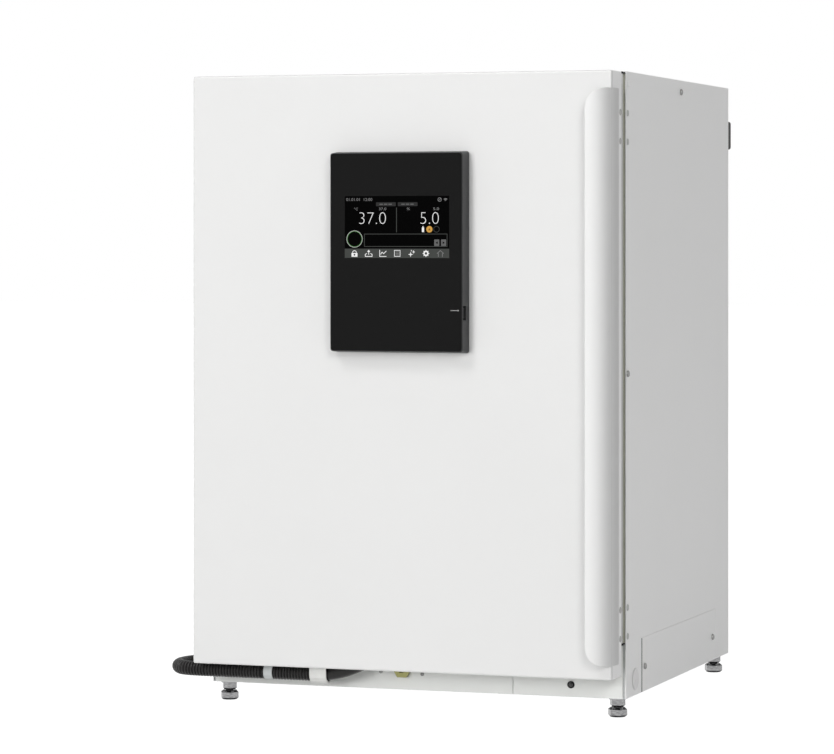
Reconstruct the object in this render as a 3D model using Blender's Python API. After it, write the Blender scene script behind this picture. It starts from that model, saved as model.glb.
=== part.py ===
"""Carbon dioxide incubator: an insulated cabinet with a steel chamber, two doors and a control panel.

Lengths are in metres, with X to the right, Y to the back and Z up. Every piece is drawn in the
cabinet's frame: its zero is on the floor, below the middle of the cabinet's front face. At the end
the whole assembly is moved so that the middle of its footprint stands on the world's origin.
"""
from math import ceil, cos, pi, radians, sin, sqrt

import bmesh
import bpy
from mathutils import Vector

# Clearances
GAP = 0.0003                    # between pieces that touch or pass through each other
SEAM = 0.0006                   # open joint between neighbouring covers
OVERCUT = 0.010                 # cutters run this far past the face that they open

# Cabinet casing
FOOT_HEIGHT = 0.027             # floor to the underside of the casing
BASE_HEIGHT = 0.077             # equipment space below the insulated part
CASING_SHEET = 0.0018
REAR_FLANGE = 0.018             # inward fold of each side panel
FRONT_GROOVE = 0.0034           # open groove between side panel and front frame
GROOVE_DEPTH = 0.0036
BASE_RETURN = 0.022             # folded ledges that carry the insulated part
PLINTH_SEAM_X = 0.145
SIDE_WALL = 0.065               # outside of the casing to the chamber
REAR_WALL = 0.0599
TOP_WALL = 0.085

# Side openings, screws and plugs, measured from the cabinet's front
SIDE_PORT_Y = 0.046
SIDE_PORT_Z = 0.050
SIDE_PORT_RADIUS = 0.013
SIDE_PLUG_RADIUS = 0.0152
SERVICE_FRONT_Y = 0.080
SERVICE_REAR_MARGIN = 0.080     # service cover to the casing's rear
PLUG_HEAD = 0.0016
PLUG_DEPTH = 0.006

# Chamber
CHAMBER_HEIGHT = 0.665
FLOOR_INSULATION = 0.046
CHAMBER_COVE = 0.030            # rounded inner corners
CHAMBER_SHEET = 0.0012
CHAMBER_FLANGE = 0.012
SHAFT_HOLE_RADIUS = 0.008
FRAME_REVEAL = 0.004            # frame opening beyond the chamber opening

# Shelves and their brackets
SHELF_COUNT = 4
FIRST_SHELF = 0.085             # chamber floor to the lowest shelf
SHELF_PITCH = 0.145
SHELF_WIDTH = 0.470
SHELF_DEPTH = 0.450
SHELF_HEIGHT = 0.012
SHELF_SHEET = 0.0010
SHELF_FRONT = 0.036             # chamber rim to the shelf's front edge
SHELF_BACK = 0.0027             # shelf to the air duct
SHELF_SIDE = 0.010              # shelf to each side wall
SHELF_HOLE_ROWS = 5
SHELF_HOLE_RADIUS = 0.012
RAIL_WIDTH = 0.014
RAIL_SHEET = 0.0014
UPRIGHT_DEPTH = 0.020

# Humidity pan
PAN_SIDE = 0.040                # pan to each side wall
PAN_DEPTH = 0.380
PAN_HEIGHT = 0.045
PAN_WALL = 0.0010
PAN_CORNER = 0.025
PAN_FRONT = 0.040
PAN_BEVEL = 0.004
PAN_RIM = 0.005

# Air duct, fan and sensor
DUCT_WIDTH = 0.240
DUCT_DEPTH = 0.034
DUCT_BEVEL = 0.004
DUCT_CORNER = 0.012
DUCT_FOOT = 0.070               # duct's lower edge above the chamber floor
DUCT_HEAD = 0.002               # duct's upper edge below the cove of the chamber ceiling
DUCT_SLOTS = 5
DUCT_SLOT_WIDTH = 0.173
DUCT_SLOT_HEIGHT = 0.009
DUCT_SLOT_PITCH = 0.022
DUCT_SLOT_RISE = 0.025          # lowest slot above the duct's lower edge
FAN_MARGIN = 0.012              # fan's rim below the duct's upper edge
FAN_MOUTH_RADIUS = 0.044        # intake in the duct cover
FAN_CLEARANCE = 0.006           # duct cover to the impeller
FAN_RADIUS = 0.055
FAN_DEPTH = 0.018
FAN_SHEET = 0.0015
FAN_EYE_RADIUS = 0.046
FAN_HUB_RADIUS = 0.0143
FAN_BLADES = 9
FAN_BLADE_SHEET = 0.0012
FAN_BLADE_ROOT = 0.023
FAN_BLADE_TIP = 0.0517
FAN_BLADE_SWEEP = radians(46)
FAN_SHAFT_RADIUS = 0.004
FAN_SHAFT_REACH = 0.024         # shaft's end behind the chamber
MOTOR_RADIUS = 0.032
MOTOR_DEPTH = 0.040
MOTOR_NOSE_RADIUS = 0.0144
MOTOR_NOSE = 0.006
SENSOR_SIDE = 0.070             # sensor axis to the chamber's right wall
SENSOR_BACK = 0.042             # sensor axis in front of the chamber's rear wall
SENSOR_RADIUS = 0.009
SENSOR_LENGTH = 0.050
SENSOR_FLANGE_RADIUS = 0.0135
SENSOR_FLANGE = 0.005

# Access port and rear fittings
PORT_SIDE = 0.055               # port axis to the chamber's left wall
PORT_DROP = 0.045               # port axis below the chamber ceiling
PORT_RADIUS = 0.015
PORT_WALL = 0.0025
PORT_LIP = 0.006
STOPPER_INSERT = 0.024
STOPPER_HEAD_RADIUS = 0.020
STOPPER_HEAD = 0.008
INLET_Z = 0.074
GAS_INLET_SIDES = (0.095, 0.130)  # inlets to the casing's left side
GAS_BARB_RADIUS = 0.004
GAS_BARBS = 3
GAS_BARB_PITCH = 0.0042
GAS_COLLAR_RADIUS = 0.008
GAS_COLLAR = 0.003
GAS_BLOCK_HEIGHT = 0.020
GAS_BLOCK_DEPTH = 0.014
GAS_BLOCK_END = 0.0104          # block beyond the outer inlets' axes
MAINS_INLET_SIDE = 0.105        # mains inlet to the casing's right side
MAINS_WIDTH = 0.027
MAINS_HEIGHT = 0.020
MAINS_DEPTH = 0.014
MAINS_WALL = 0.0015
MAINS_BACK = 0.004              # body behind the recess
MAINS_REACH = 0.002             # proud of the rear panel
CONTROL_BOX_WIDTH = 0.443
CONTROL_BOX_MARGIN = 0.020      # to the base pan's folds
CONTROL_BOX_DROP = 0.012        # below the insulated part
SPACER_WIDTH = 0.034
SPACER_HEIGHT = 0.043
SPACER_DEPTH = 0.025
SPACER_TOP = 0.051              # below the cabinet's top
SPACER_EDGE = 0.003

# Outer door
DOOR_GAP = 0.025                # closed door to the cabinet's front
DOOR_THICKNESS = 0.050
DOOR_DROP = 0.0015              # door top below the cabinet's top
DOOR_BOTTOM = 0.0616
DOOR_SHEET = 0.0010
DOOR_EDGE = 0.0025              # rounded front edges
LINER_SHEET = 0.0015
DOOR_CORNER = 0.0020
GASKET_WIDTH = 0.014
GASKET_LIP = 0.006              # straight part at the door and at the frame
GASKET_WAIST = 0.003
GASKET_INSET = 0.0035           # gasket's outer edge inside the front frame's edge

# Hinges of the outer door
HINGE_RISE = 0.0724             # lower hinge above the door's bottom
HINGE_DROP = 0.078              # upper hinge below the cabinet's top
HINGE_OFFSET = 0.0165           # pivot beyond the cabinet's side
HINGE_LEAF = 0.003
HINGE_HALF = 0.031
HINGE_HOLE_OFFSET = 0.019       # screw rows in front of and behind the pivot
HINGE_MARGIN = 0.0105           # leaf beyond its screw row
KNUCKLE_RADIUS = 0.008
PIN_RADIUS = 0.004

# Handle, a curved blade wrapped round the door's free edge
HANDLE_TOP_DROP = 0.0240
HANDLE_BOTTOM_RISE = 0.0194
HANDLE_REACH = 0.025            # in front of the door
HANDLE_LIP = 0.0312             # lip inside the door's free edge
HANDLE_RADIUS = 0.0307
HANDLE_BLADE = 0.0024
HANDLE_TAIL = 0.028             # length along the door's side, behind its front face
HANDLE_CUT_WIDTH = 0.030
HANDLE_CUT_HEIGHT = 0.0275

# Control panel on the outer door
PANEL_WIDTH = 0.195
PANEL_HEIGHT = 0.277
PANEL_CENTRE_X = 0.0055
PANEL_DROP = 0.1115             # panel below the door's top
PANEL_REACH = 0.025
PANEL_DRAFT = 0.002
PANEL_WALL = 0.0028
PANEL_CORNER = 0.0035
FASCIA_SHEET = 0.0016
FASCIA_INSET = 0.0012
SOCKET_RISE = 0.054             # socket's middle above the panel's bottom
SOCKET_HEIGHT = 0.020
SOCKET_WIDTH = 0.010
SOCKET_DEPTH = 0.012
SOCKET_FRONT = 0.0085           # behind the panel's face

# Inner door
GLASS_THICKNESS = 0.005
GLASS_OVERLAP = 0.021           # glass beyond the chamber opening
GLASS_CORNER = 0.012
INNER_GASKET_DEPTH = 0.0084
INNER_GASKET_INSET = 0.006
INNER_GASKET_WIDTH = 0.010
INNER_HINGE_OFFSET = 0.008      # hinge axis beyond the glass
INNER_HINGE_INSET = 0.110       # hinges inside the chamber's height
INNER_KNUCKLE_RADIUS = 0.0045
INNER_KNUCKLE_HALF = 0.016
INNER_PIN_RADIUS = 0.0018
INNER_STRIP_INSET = 0.050       # strips' ends inside the chamber's height
INNER_STRIP_SHEET = 0.0016
INNER_STRIP_GRIP = 0.022        # glass covered by the door's strip
LATCH_RISE = 0.320              # latch axis above the chamber floor
LATCH_INSET = 0.008             # latch axis inside the glass edge
LATCH_BOSS_RADIUS = 0.007
LATCH_STEM_RADIUS = 0.0035
LATCH_CLEARANCE = 0.002         # lever's nose to the catch
LATCH_NOSE = 0.014
LATCH_GRIP = 0.046
LATCH_THICKNESS = 0.004
LATCH_WIDTH = 0.011
LATCH_STANDOFF = 0.001
CATCH_WIDTH = 0.008
CATCH_HALF = 0.009
CATCH_SHEET = 0.0018
CATCH_LIP = 0.0068              # lip beyond the catch's post

# Door switch above the chamber
SWITCH_SIDE = 0.065             # switch to the chamber's right wall
SWITCH_RISE = 0.042             # above the chamber ceiling
SWITCH_WIDTH = 0.026
SWITCH_HEIGHT = 0.016
SWITCH_PLUNGER_RADIUS = 0.003
SWITCH_HOUSING_DEPTH = 0.014
SWITCH_FLOOR = 0.0015
SWITCH_TRAVEL = 0.0030          # plunger's end to the floor of its bore

# Plinth fittings
BUTTON_SIDE = 0.080             # button to the casing's right side
BUTTON_Z = 0.0443
BUTTON_RADIUS = 0.0032
BUTTON_REACH = 0.0032
BUTTON_DEPTH = 0.006
BEZEL_RADIUS = 0.00485
BEZEL_REACH = 0.0016
DRAIN_X = -0.0185
DRAIN_Z = 0.057
DRAIN_FLATS = 0.0255
DRAIN_REACH = 0.008
DRAIN_HOLE_RADIUS = 0.0089
DRAIN_DEPTH = 0.030

# Feet
FOOT_TURN = radians(-60)        # a corner of each hexagon faces half left
FOOT_SIDE_INSET = 0.018
FOOT_FRONT_INSET = 0.020
FOOT_REAR_INSET = 0.023
PAD_FLATS = 0.024
PAD_HEIGHT = 0.013
PAD_BEVEL = 0.0015
STUD_RADIUS = 0.006
STUD_RISE = 0.016               # stud above the casing's underside
NUT_FLATS = 0.019
NUT_HEIGHT = 0.008
WASHER_RADIUS = 0.0125
WASHER_HEIGHT = 0.0018

# Conduit from the cabinet's side to the door, held under the door
CONDUIT_RADIUS = 0.0105
CONDUIT_TAIL_SCALE = 0.86
CONDUIT_Z = 0.050
GLAND_RADIUS = 0.017
GLAND_LENGTH = 0.004
GLAND_FLANGE = 0.0022
GLAND_DEPTH = 0.006
LOOP_ROUTE = (                  # from the gland round to the door, from the casing's left side inwards
    (-0.0046, 0.0460), (-0.0120, 0.0459), (-0.0300, 0.0400), (-0.0440, 0.0220), (-0.0480, 0.0000),
    (-0.0440, -0.0200), (-0.0290, -0.0365), (-0.0020, -0.0425), (0.0400, -0.0425), (0.0945, -0.0425),
)
DOOR_ROUTE = (                  # under the door and up into it: inwards from the left side, and height
    (0.0948, 0.0500), (0.1300, 0.0500), (0.1700, 0.0500), (0.1950, 0.0502),
    (0.2200, 0.0560), (0.2450, 0.0660), (0.2650, 0.0750),
)
DOOR_ROUTE_Y = -0.0425
TAIL_START = 0.1825             # these two are also measured inwards from the left side
CLAMP_SADDLE = (0.1700, 0.1950)
SADDLE_WALL = 0.0024

# Derived places shared by several pieces
CHAMBER_HALF = SHELF_WIDTH / 2 + SHELF_SIDE
CHAMBER_DEPTH = SHELF_FRONT + SHELF_DEPTH + SHELF_BACK + DUCT_DEPTH + GAP
CHAMBER_RIM = CASING_SHEET + GAP
CHAMBER_BACK = CHAMBER_RIM + CHAMBER_DEPTH
HALF_WIDTH = CHAMBER_HALF + SIDE_WALL
CABINET_DEPTH = CHAMBER_BACK + REAR_WALL
BASE_TOP = FOOT_HEIGHT + BASE_HEIGHT
INNER_HALF = HALF_WIDTH - CASING_SHEET - GAP
FRAME_HALF = HALF_WIDTH - CASING_SHEET - FRONT_GROOVE
CASING_REAR = CABINET_DEPTH - CASING_SHEET
CHAMBER_FLOOR = BASE_TOP + FLOOR_INSULATION
CHAMBER_CEILING = CHAMBER_FLOOR + CHAMBER_HEIGHT
CABINET_TOP = CHAMBER_CEILING + TOP_WALL
FRAME_TOP = CABINET_TOP - CASING_SHEET - GAP
SERVICE_REAR_Y = CABINET_DEPTH - SERVICE_REAR_MARGIN
DOOR_BACK = -DOOR_GAP
DOOR_FRONT = -DOOR_GAP - DOOR_THICKNESS
DOOR_TOP = CABINET_TOP - DOOR_DROP
HINGE_HEIGHTS = (DOOR_BOTTOM + HINGE_RISE, CABINET_TOP - HINGE_DROP)
PIVOT = Vector((-HALF_WIDTH - HINGE_OFFSET, -DOOR_GAP / 2, 0.0))
GLASS_HALF = CHAMBER_HALF + GLASS_OVERLAP
GLASS_BACK = -INNER_GASKET_DEPTH - 2 * GAP
GLASS_FRONT = GLASS_BACK - GLASS_THICKNESS
INNER_PIVOT = Vector((-GLASS_HALF - INNER_HINGE_OFFSET, (GLASS_BACK + GLASS_FRONT) / 2, 0.0))
INNER_HINGE_HEIGHTS = (CHAMBER_FLOOR + INNER_HINGE_INSET, CHAMBER_CEILING - INNER_HINGE_INSET)
LATCH_AXIS = Vector((GLASS_HALF - LATCH_INSET, GLASS_FRONT, CHAMBER_FLOOR + LATCH_RISE))
DUCT_LOW = CHAMBER_FLOOR + DUCT_FOOT
DUCT_HIGH = CHAMBER_CEILING - CHAMBER_COVE - DUCT_HEAD
FAN_Z = DUCT_HIGH - FAN_RADIUS - FAN_MARGIN
DUCT_FRONT = CHAMBER_BACK - GAP - DUCT_DEPTH
PORT_X = PORT_SIDE - CHAMBER_HALF
PORT_Z = CHAMBER_CEILING - PORT_DROP
SENSOR_X = CHAMBER_HALF - SENSOR_SIDE
SWITCH_X = CHAMBER_HALF - SWITCH_SIDE
GAS_INLET_XS = [side - HALF_WIDTH for side in GAS_INLET_SIDES]
MAINS_INLET_X = HALF_WIDTH - MAINS_INLET_SIDE
BUTTON_X = HALF_WIDTH - BUTTON_SIDE
PANEL_TOP = DOOR_TOP - PANEL_DROP
PANEL_BOTTOM = PANEL_TOP - PANEL_HEIGHT
PANEL_FACE = DOOR_FRONT - PANEL_REACH
PANEL_LEFT = PANEL_CENTRE_X - PANEL_WIDTH / 2
PANEL_RIGHT = PANEL_CENTRE_X + PANEL_WIDTH / 2
SOCKET_Z = PANEL_BOTTOM + SOCKET_RISE
CORNER_STEPS = 4


# Outlines, each a list of points going once round

def circle(u, v, radius, sides, turn=0.0):
    """Points of a regular polygon drawn as a circle."""
    angles = [2 * pi * step / sides + turn for step in range(sides)]
    return [(u + radius * cos(angle), v + radius * sin(angle)) for angle in angles]


def hexagon(u, v, flats, turn=0.0):
    """A hexagon given across its flats, with a point halfway along each side."""
    corners = circle(u, v, flats / sqrt(3), 6, turn)
    outline = []
    for start, end in zip(corners, corners[1:] + corners[:1]):
        outline.append(start)
        outline.append(((start[0] + end[0]) / 2, (start[1] + end[1]) / 2))
    return outline


def rectangle(left, low, right, high):
    """Four corners of a rectangle."""
    return [(left, low), (right, low), (right, high), (left, high)]


def rounded(left, low, right, high, radius, steps=CORNER_STEPS):
    """A rectangle whose corners are arcs of the given radius."""
    centres = ((right - radius, high - radius, 0.0), (left + radius, high - radius, pi / 2),
               (left + radius, low + radius, pi), (right - radius, low + radius, 3 * pi / 2))
    outline = []
    for u, v, start in centres:
        for step in range(steps + 1):
            angle = start + pi / 2 * step / steps
            outline.append((u + radius * cos(angle), v + radius * sin(angle)))
    return outline


def grown(margin, radius=None, steps=CORNER_STEPS):
    """Outline of the chamber opening, grown on every side by a margin."""
    corner = CHAMBER_COVE + margin if radius is None else radius
    return rounded(-CHAMBER_HALF - margin, CHAMBER_FLOOR - margin,
                   CHAMBER_HALF + margin, CHAMBER_CEILING + margin, corner, steps)


def lifted(outline, axis, level):
    """Turn a flat outline into points in space, at one level along an axis."""
    if axis == "X":
        return [(level, u, v) for u, v in outline]
    if axis == "Y":
        return [(u, level, v) for u, v in outline]
    return [(u, v, level) for u, v in outline]


# Shapes

def loft(loops, ring=False):
    """Join loops of equally many points into a closed skin, or into a closed ring."""
    shape = bmesh.new()
    rows = [[shape.verts.new(point) for point in loop] for loop in loops]
    pairs = list(zip(rows, rows[1:]))
    if ring:
        pairs.append((rows[-1], rows[0]))
    for row, after in pairs:
        for index, corner in enumerate(row):
            following = (index + 1) % len(row)
            shape.faces.new((corner, row[following], after[following], after[index]))
    if not ring:
        shape.faces.new(rows[0][::-1])
        shape.faces.new(rows[-1])
    bmesh.ops.recalc_face_normals(shape, faces=shape.faces)
    return shape


def prism(outline, axis, start, end):
    """Extrude a flat outline along an axis."""
    return loft([lifted(outline, axis, start), lifted(outline, axis, end)])


def box(low, high):
    """A block between two opposite corners."""
    return prism(rectangle(low[0], low[1], high[0], high[1]), "Z", low[2], high[2])


def turned(profile, axis, u, v, sides=16, ring=False, turn=0.0):
    """Turn a profile of radius and level pairs round an axis."""
    loops = [lifted(circle(u, v, radius, sides, turn), axis, level) for radius, level in profile]
    return loft(loops, ring)


def rod(radius, axis, u, v, start, end, sides=16):
    """A round bar between two levels along an axis."""
    return turned([(radius, start), (radius, end)], axis, u, v, sides)


def merged(shapes):
    """Put several shapes side by side in one."""
    whole = bmesh.new()
    for shape in shapes:
        part = bpy.data.meshes.new("part")
        shape.to_mesh(part)
        shape.free()
        whole.from_mesh(part)
        bpy.data.meshes.remove(part)
    return whole


def smooth_route(points, spacing):
    """Points along a smooth curve that passes through the given ones."""
    ends = [points[0] * 2 - points[1], *points, points[-1] * 2 - points[-2]]
    route = []
    for before, start, end, after in zip(ends, ends[1:], ends[2:], ends[3:]):
        steps = max(1, ceil((end - start).length / spacing))
        for step in range(steps):
            t = step / steps
            route.append(0.5 * (2 * start + (end - before) * t
                                + (2 * before - 5 * start + 4 * end - after) * t * t
                                + (3 * start - before - 3 * end + after) * t ** 3))
    route.append(points[-1])
    return route


# Bodies and pieces

class Body:
    """A rigid group of pieces, hung on an empty that stands on its joint."""

    def __init__(self, name, place, carrier=None):
        self.place = Vector(place)
        self.empty = bpy.data.objects.new(name, None)
        self.empty.empty_display_size = 0.03
        bpy.context.scene.collection.objects.link(self.empty)
        if carrier:
            self.empty.parent = carrier.empty
            self.empty.location = self.place - carrier.place

    def hang(self, thing, at=(0.0, 0.0, 0.0)):
        """Parent an object drawn in the cabinet's frame to this body."""
        bpy.context.scene.collection.objects.link(thing)
        thing.parent = self.empty
        thing.location = Vector(at) - self.place


def finish(name, colour, roughness, metallic=0.0):
    """A Principled material."""
    material = bpy.data.materials.new(name)
    material.use_nodes = True
    shader = material.node_tree.nodes["Principled BSDF"]
    shader.inputs["Base Color"].default_value = (*colour, 1.0)
    shader.inputs["Roughness"].default_value = roughness
    shader.inputs["Metallic"].default_value = metallic
    return material


def make_mesh(name, shape):
    """Turn a shape into a mesh that is smooth but for its sharp edges."""
    mesh = bpy.data.meshes.new(name)
    shape.to_mesh(mesh)
    shape.free()
    mesh.shade_smooth()
    mesh.set_sharp_from_angle(angle=radians(32))
    return mesh


def piece(name, shape, body, look, at=(0.0, 0.0, 0.0)):
    """Make a named piece and hang it on its body."""
    mesh = shape if isinstance(shape, bpy.types.Mesh) else make_mesh(name, shape)
    if not mesh.materials:
        mesh.materials.append(finish(name, *look))
    thing = bpy.data.objects.new(name, mesh)
    body.hang(thing, at)
    return thing


def work(thing, shape, operation, note):
    """Cut a shape out of a piece, or add it to the piece, with a Boolean."""
    tool = bpy.data.objects.new(f"{thing.name}_{note}", make_mesh(note, shape))
    bpy.context.scene.collection.objects.link(tool)
    tool.parent = thing.parent
    tool.location = thing.location
    tool.hide_render = True
    tool.display_type = "WIRE"
    step = thing.modifiers.new(note, "BOOLEAN")
    step.operation = operation
    step.solver = "EXACT"
    step.object = tool


def cut(thing, shape, note="cutter"):
    """Cut a shape out of a piece."""
    work(thing, shape, "DIFFERENCE", note)


def weld(thing, shape, note="added"):
    """Join a shape to a piece."""
    work(thing, shape, "UNION", note)


def soften(thing, width, segments=2):
    """Round the sharp edges of a piece."""
    step = thing.modifiers.new("rounding", "BEVEL")
    step.width = width
    step.segments = segments
    step.limit_method = "ANGLE"
    step.angle_limit = radians(40)
    step.harden_normals = False


def tube(name, route, radius, body, look, scales=None):
    """A plain tube along a route."""
    curve = bpy.data.curves.new(name, "CURVE")
    curve.dimensions = "3D"
    curve.bevel_depth = radius
    curve.bevel_resolution = 3
    curve.use_fill_caps = True
    spline = curve.splines.new("POLY")
    spline.points.add(len(route) - 1)
    for index, (point, place) in enumerate(zip(spline.points, route)):
        point.co = (*place, 1.0)
        point.radius = scales[index] if scales else 1.0
    curve.materials.append(finish(name, *look))
    thing = bpy.data.objects.new(name, curve)
    body.hang(thing)
    return thing


# Looks: colour, roughness, metallic
WHITE_PAINT = ((0.80, 0.80, 0.79), 0.38)
PLINTH_PAINT = ((0.66, 0.67, 0.65), 0.40)
STEEL = ((0.62, 0.62, 0.60), 0.28, 1.0)
GALVANISED = ((0.55, 0.56, 0.56), 0.45, 1.0)
CHROME = ((0.75, 0.75, 0.75), 0.12, 1.0)
BRASS = ((0.55, 0.50, 0.20), 0.35, 1.0)
FAN_METAL = ((0.84, 0.84, 0.84), 0.30)
BLACK_PLASTIC = ((0.013, 0.013, 0.013), 0.40)
BLACK_GLASS = ((0.004, 0.004, 0.004), 0.10)
GREY_PLASTIC = ((0.33, 0.33, 0.33), 0.50)
WHITE_PLASTIC = ((0.70, 0.70, 0.68), 0.45)
RUBBER = ((0.02, 0.02, 0.02), 0.65)
SILICONE = ((0.60, 0.60, 0.58), 0.60)
FOAM = ((0.15, 0.15, 0.10), 0.90)
GLASS = ((0.85, 0.92, 0.90), 0.03)


# Casing

def side_panel(name, side, body):
    """A painted side sheet, with a notch for its service cover and a fold at the back."""
    outline = [(0.0, FOOT_HEIGHT), (SERVICE_FRONT_Y, FOOT_HEIGHT), (SERVICE_FRONT_Y, BASE_TOP),
               (SERVICE_REAR_Y, BASE_TOP), (SERVICE_REAR_Y, FOOT_HEIGHT), (CABINET_DEPTH, FOOT_HEIGHT),
               (CABINET_DEPTH, CABINET_TOP), (0.0, CABINET_TOP)]
    outer = side * HALF_WIDTH
    panel = piece(name, prism(outline, "X", outer - side * CASING_SHEET, outer), body, WHITE_PAINT)
    fold = sorted((outer - side * REAR_FLANGE, outer - side * CASING_SHEET * 0.5))
    weld(panel, box((fold[0], CASING_REAR, FOOT_HEIGHT), (fold[1], CABINET_DEPTH, CABINET_TOP)), "fold")
    cut(panel, rod(SIDE_PORT_RADIUS, "X", SIDE_PORT_Y, SIDE_PORT_Z,
                   outer - side * OVERCUT, outer + side * OVERCUT), "port")
    return panel


def mains_block(margin, start, end):
    """A block round the mains inlet, grown by a margin, between two levels along Y."""
    half_x = MAINS_WIDTH / 2 + margin
    half_z = MAINS_HEIGHT / 2 + margin
    return box((MAINS_INLET_X - half_x, start, INLET_Z - half_z),
               (MAINS_INLET_X + half_x, end, INLET_Z + half_z))


def inlet_holes(start, end):
    """Cutters for the gas and mains inlets, between two levels along Y."""
    gas = [rod(GAS_BARB_RADIUS + GAP, "Y", x, INLET_Z, start, end, 12) for x in GAS_INLET_XS]
    return [*gas, mains_block(GAP, start, end)]


def base_pan(body):
    """The folded pan under the chamber, with the feet's washers and lock nuts."""
    front = CASING_SHEET + GAP
    rear = CASING_REAR - GAP
    fold = CASING_SHEET
    section = [(front, FOOT_HEIGHT), (rear, FOOT_HEIGHT), (rear, BASE_TOP), (rear - BASE_RETURN, BASE_TOP),
               (rear - BASE_RETURN, BASE_TOP - fold), (rear - fold, BASE_TOP - fold),
               (rear - fold, FOOT_HEIGHT + fold), (front + fold, FOOT_HEIGHT + fold),
               (front + fold, BASE_TOP - fold), (front + BASE_RETURN, BASE_TOP - fold),
               (front + BASE_RETURN, BASE_TOP), (front, BASE_TOP)]
    base = piece("base_pan", prism(section, "X", -INNER_HALF, INNER_HALF), body, GALVANISED)
    washer_low = FOOT_HEIGHT - WASHER_HEIGHT
    nut_low = washer_low - NUT_HEIGHT
    weld(base, merged([rod(WASHER_RADIUS, "Z", x, y, washer_low, FOOT_HEIGHT + fold / 2)
                       for x, y in foot_places()]), "washers")
    weld(base, merged([prism(hexagon(x, y, NUT_FLATS, FOOT_TURN), "Z", nut_low, FOOT_HEIGHT + fold / 4)
                       for x, y in foot_places()]), "lock_nuts")
    studs = [rod(STUD_RADIUS + GAP, "Z", x, y, nut_low - OVERCUT, FOOT_HEIGHT + OVERCUT, 12)
             for x, y in foot_places()]
    fittings = [rod(BUTTON_RADIUS + GAP, "Y", BUTTON_X, BUTTON_Z, 0.0, OVERCUT, 12),
                rod(DRAIN_HOLE_RADIUS, "Y", DRAIN_X, DRAIN_Z, 0.0, OVERCUT, 12)]
    cut(base, merged([*studs, *fittings, *inlet_holes(rear - OVERCUT, rear + OVERCUT)]), "holes")


def casing(body):
    """The folded and screwed sheets of the cabinet."""
    side_panel("side_panel_left", -1, body)
    side_panel("side_panel_right", 1, body)
    piece("top_panel", box((-INNER_HALF, 0.0, CABINET_TOP - CASING_SHEET),
                           (INNER_HALF, CASING_REAR - GAP, CABINET_TOP)), body, WHITE_PAINT)
    rear_half = HALF_WIDTH - REAR_FLANGE - GAP
    rear = piece("rear_panel", box((-rear_half, CASING_REAR, FOOT_HEIGHT),
                                   (rear_half, CABINET_DEPTH, CABINET_TOP)), body, WHITE_PAINT)
    start = CASING_REAR - OVERCUT
    end = CABINET_DEPTH + OVERCUT
    port = rod(PORT_RADIUS + PORT_WALL + GAP, "Y", PORT_X, PORT_Z, start, end, 24)
    cut(rear, merged([port, *inlet_holes(start, end)]), "holes")
    base_pan(body)
    for name, outer, inner in (("service_cover_right", HALF_WIDTH, HALF_WIDTH - CASING_SHEET),
                               ("service_cover_left", CASING_SHEET - HALF_WIDTH, -HALF_WIDTH)):
        piece(name, box((inner, SERVICE_FRONT_Y + SEAM, FOOT_HEIGHT),
                        (outer, SERVICE_REAR_Y - SEAM, BASE_TOP - SEAM)), body, WHITE_PAINT)


def plinth(body):
    """The two front plates below the door, with the drain and the bezel of the reset button."""
    back = CASING_SHEET
    high = BASE_TOP - SEAM
    left = piece("plinth_plate_left", box((-FRAME_HALF, 0.0, FOOT_HEIGHT),
                                          (PLINTH_SEAM_X - SEAM / 2, back, high)), body, PLINTH_PAINT)
    cut(left, rod(DRAIN_HOLE_RADIUS, "Y", DRAIN_X, DRAIN_Z, -OVERCUT, OVERCUT, 12), "drain_hole")
    right = piece("plinth_plate_right", box((PLINTH_SEAM_X + SEAM / 2, 0.0, FOOT_HEIGHT),
                                            (FRAME_HALF, back, high)), body, PLINTH_PAINT)
    bezel = [(BEZEL_RADIUS, back / 2), (BEZEL_RADIUS, -BEZEL_REACH * 0.75),
             (BEZEL_RADIUS * 0.9, -BEZEL_REACH)]
    weld(right, turned(bezel, "Y", BUTTON_X, BUTTON_Z), "bezel")
    cut(right, rod(BUTTON_RADIUS + GAP, "Y", BUTTON_X, BUTTON_Z, -OVERCUT, OVERCUT), "button_hole")
    drain = piece("drain_port", prism(hexagon(DRAIN_X, DRAIN_Z, DRAIN_FLATS), "Y", -GAP, -DRAIN_REACH),
                  body, BRASS)
    weld(drain, rod(DRAIN_HOLE_RADIUS - GAP, "Y", DRAIN_X, DRAIN_Z, -DRAIN_REACH / 2, DRAIN_DEPTH, 12),
         "stem")


def reset_button(body):
    """The small button in the right-hand plinth plate."""
    cap = [(BUTTON_RADIUS, BUTTON_DEPTH), (BUTTON_RADIUS, -BUTTON_REACH * 0.8),
           (BUTTON_RADIUS * 0.7, -BUTTON_REACH)]
    piece("reset_button", turned(cap, "Y", BUTTON_X, BUTTON_Z, 12), body, GREY_PLASTIC)


def front_frame(body):
    """The painted frame round the chamber, which the door's gasket seals on."""
    steps = CORNER_STEPS
    outer = rounded(-FRAME_HALF, BASE_TOP, FRAME_HALF, FRAME_TOP, 0.001, steps)
    inner = grown(FRAME_REVEAL)
    loops = [lifted(outer, "Y", 0.0), lifted(outer, "Y", CASING_SHEET),
             lifted(inner, "Y", CASING_SHEET), lifted(inner, "Y", 0.0)]
    piece("front_frame", loft(loops, ring=True), body, WHITE_PAINT)


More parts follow.
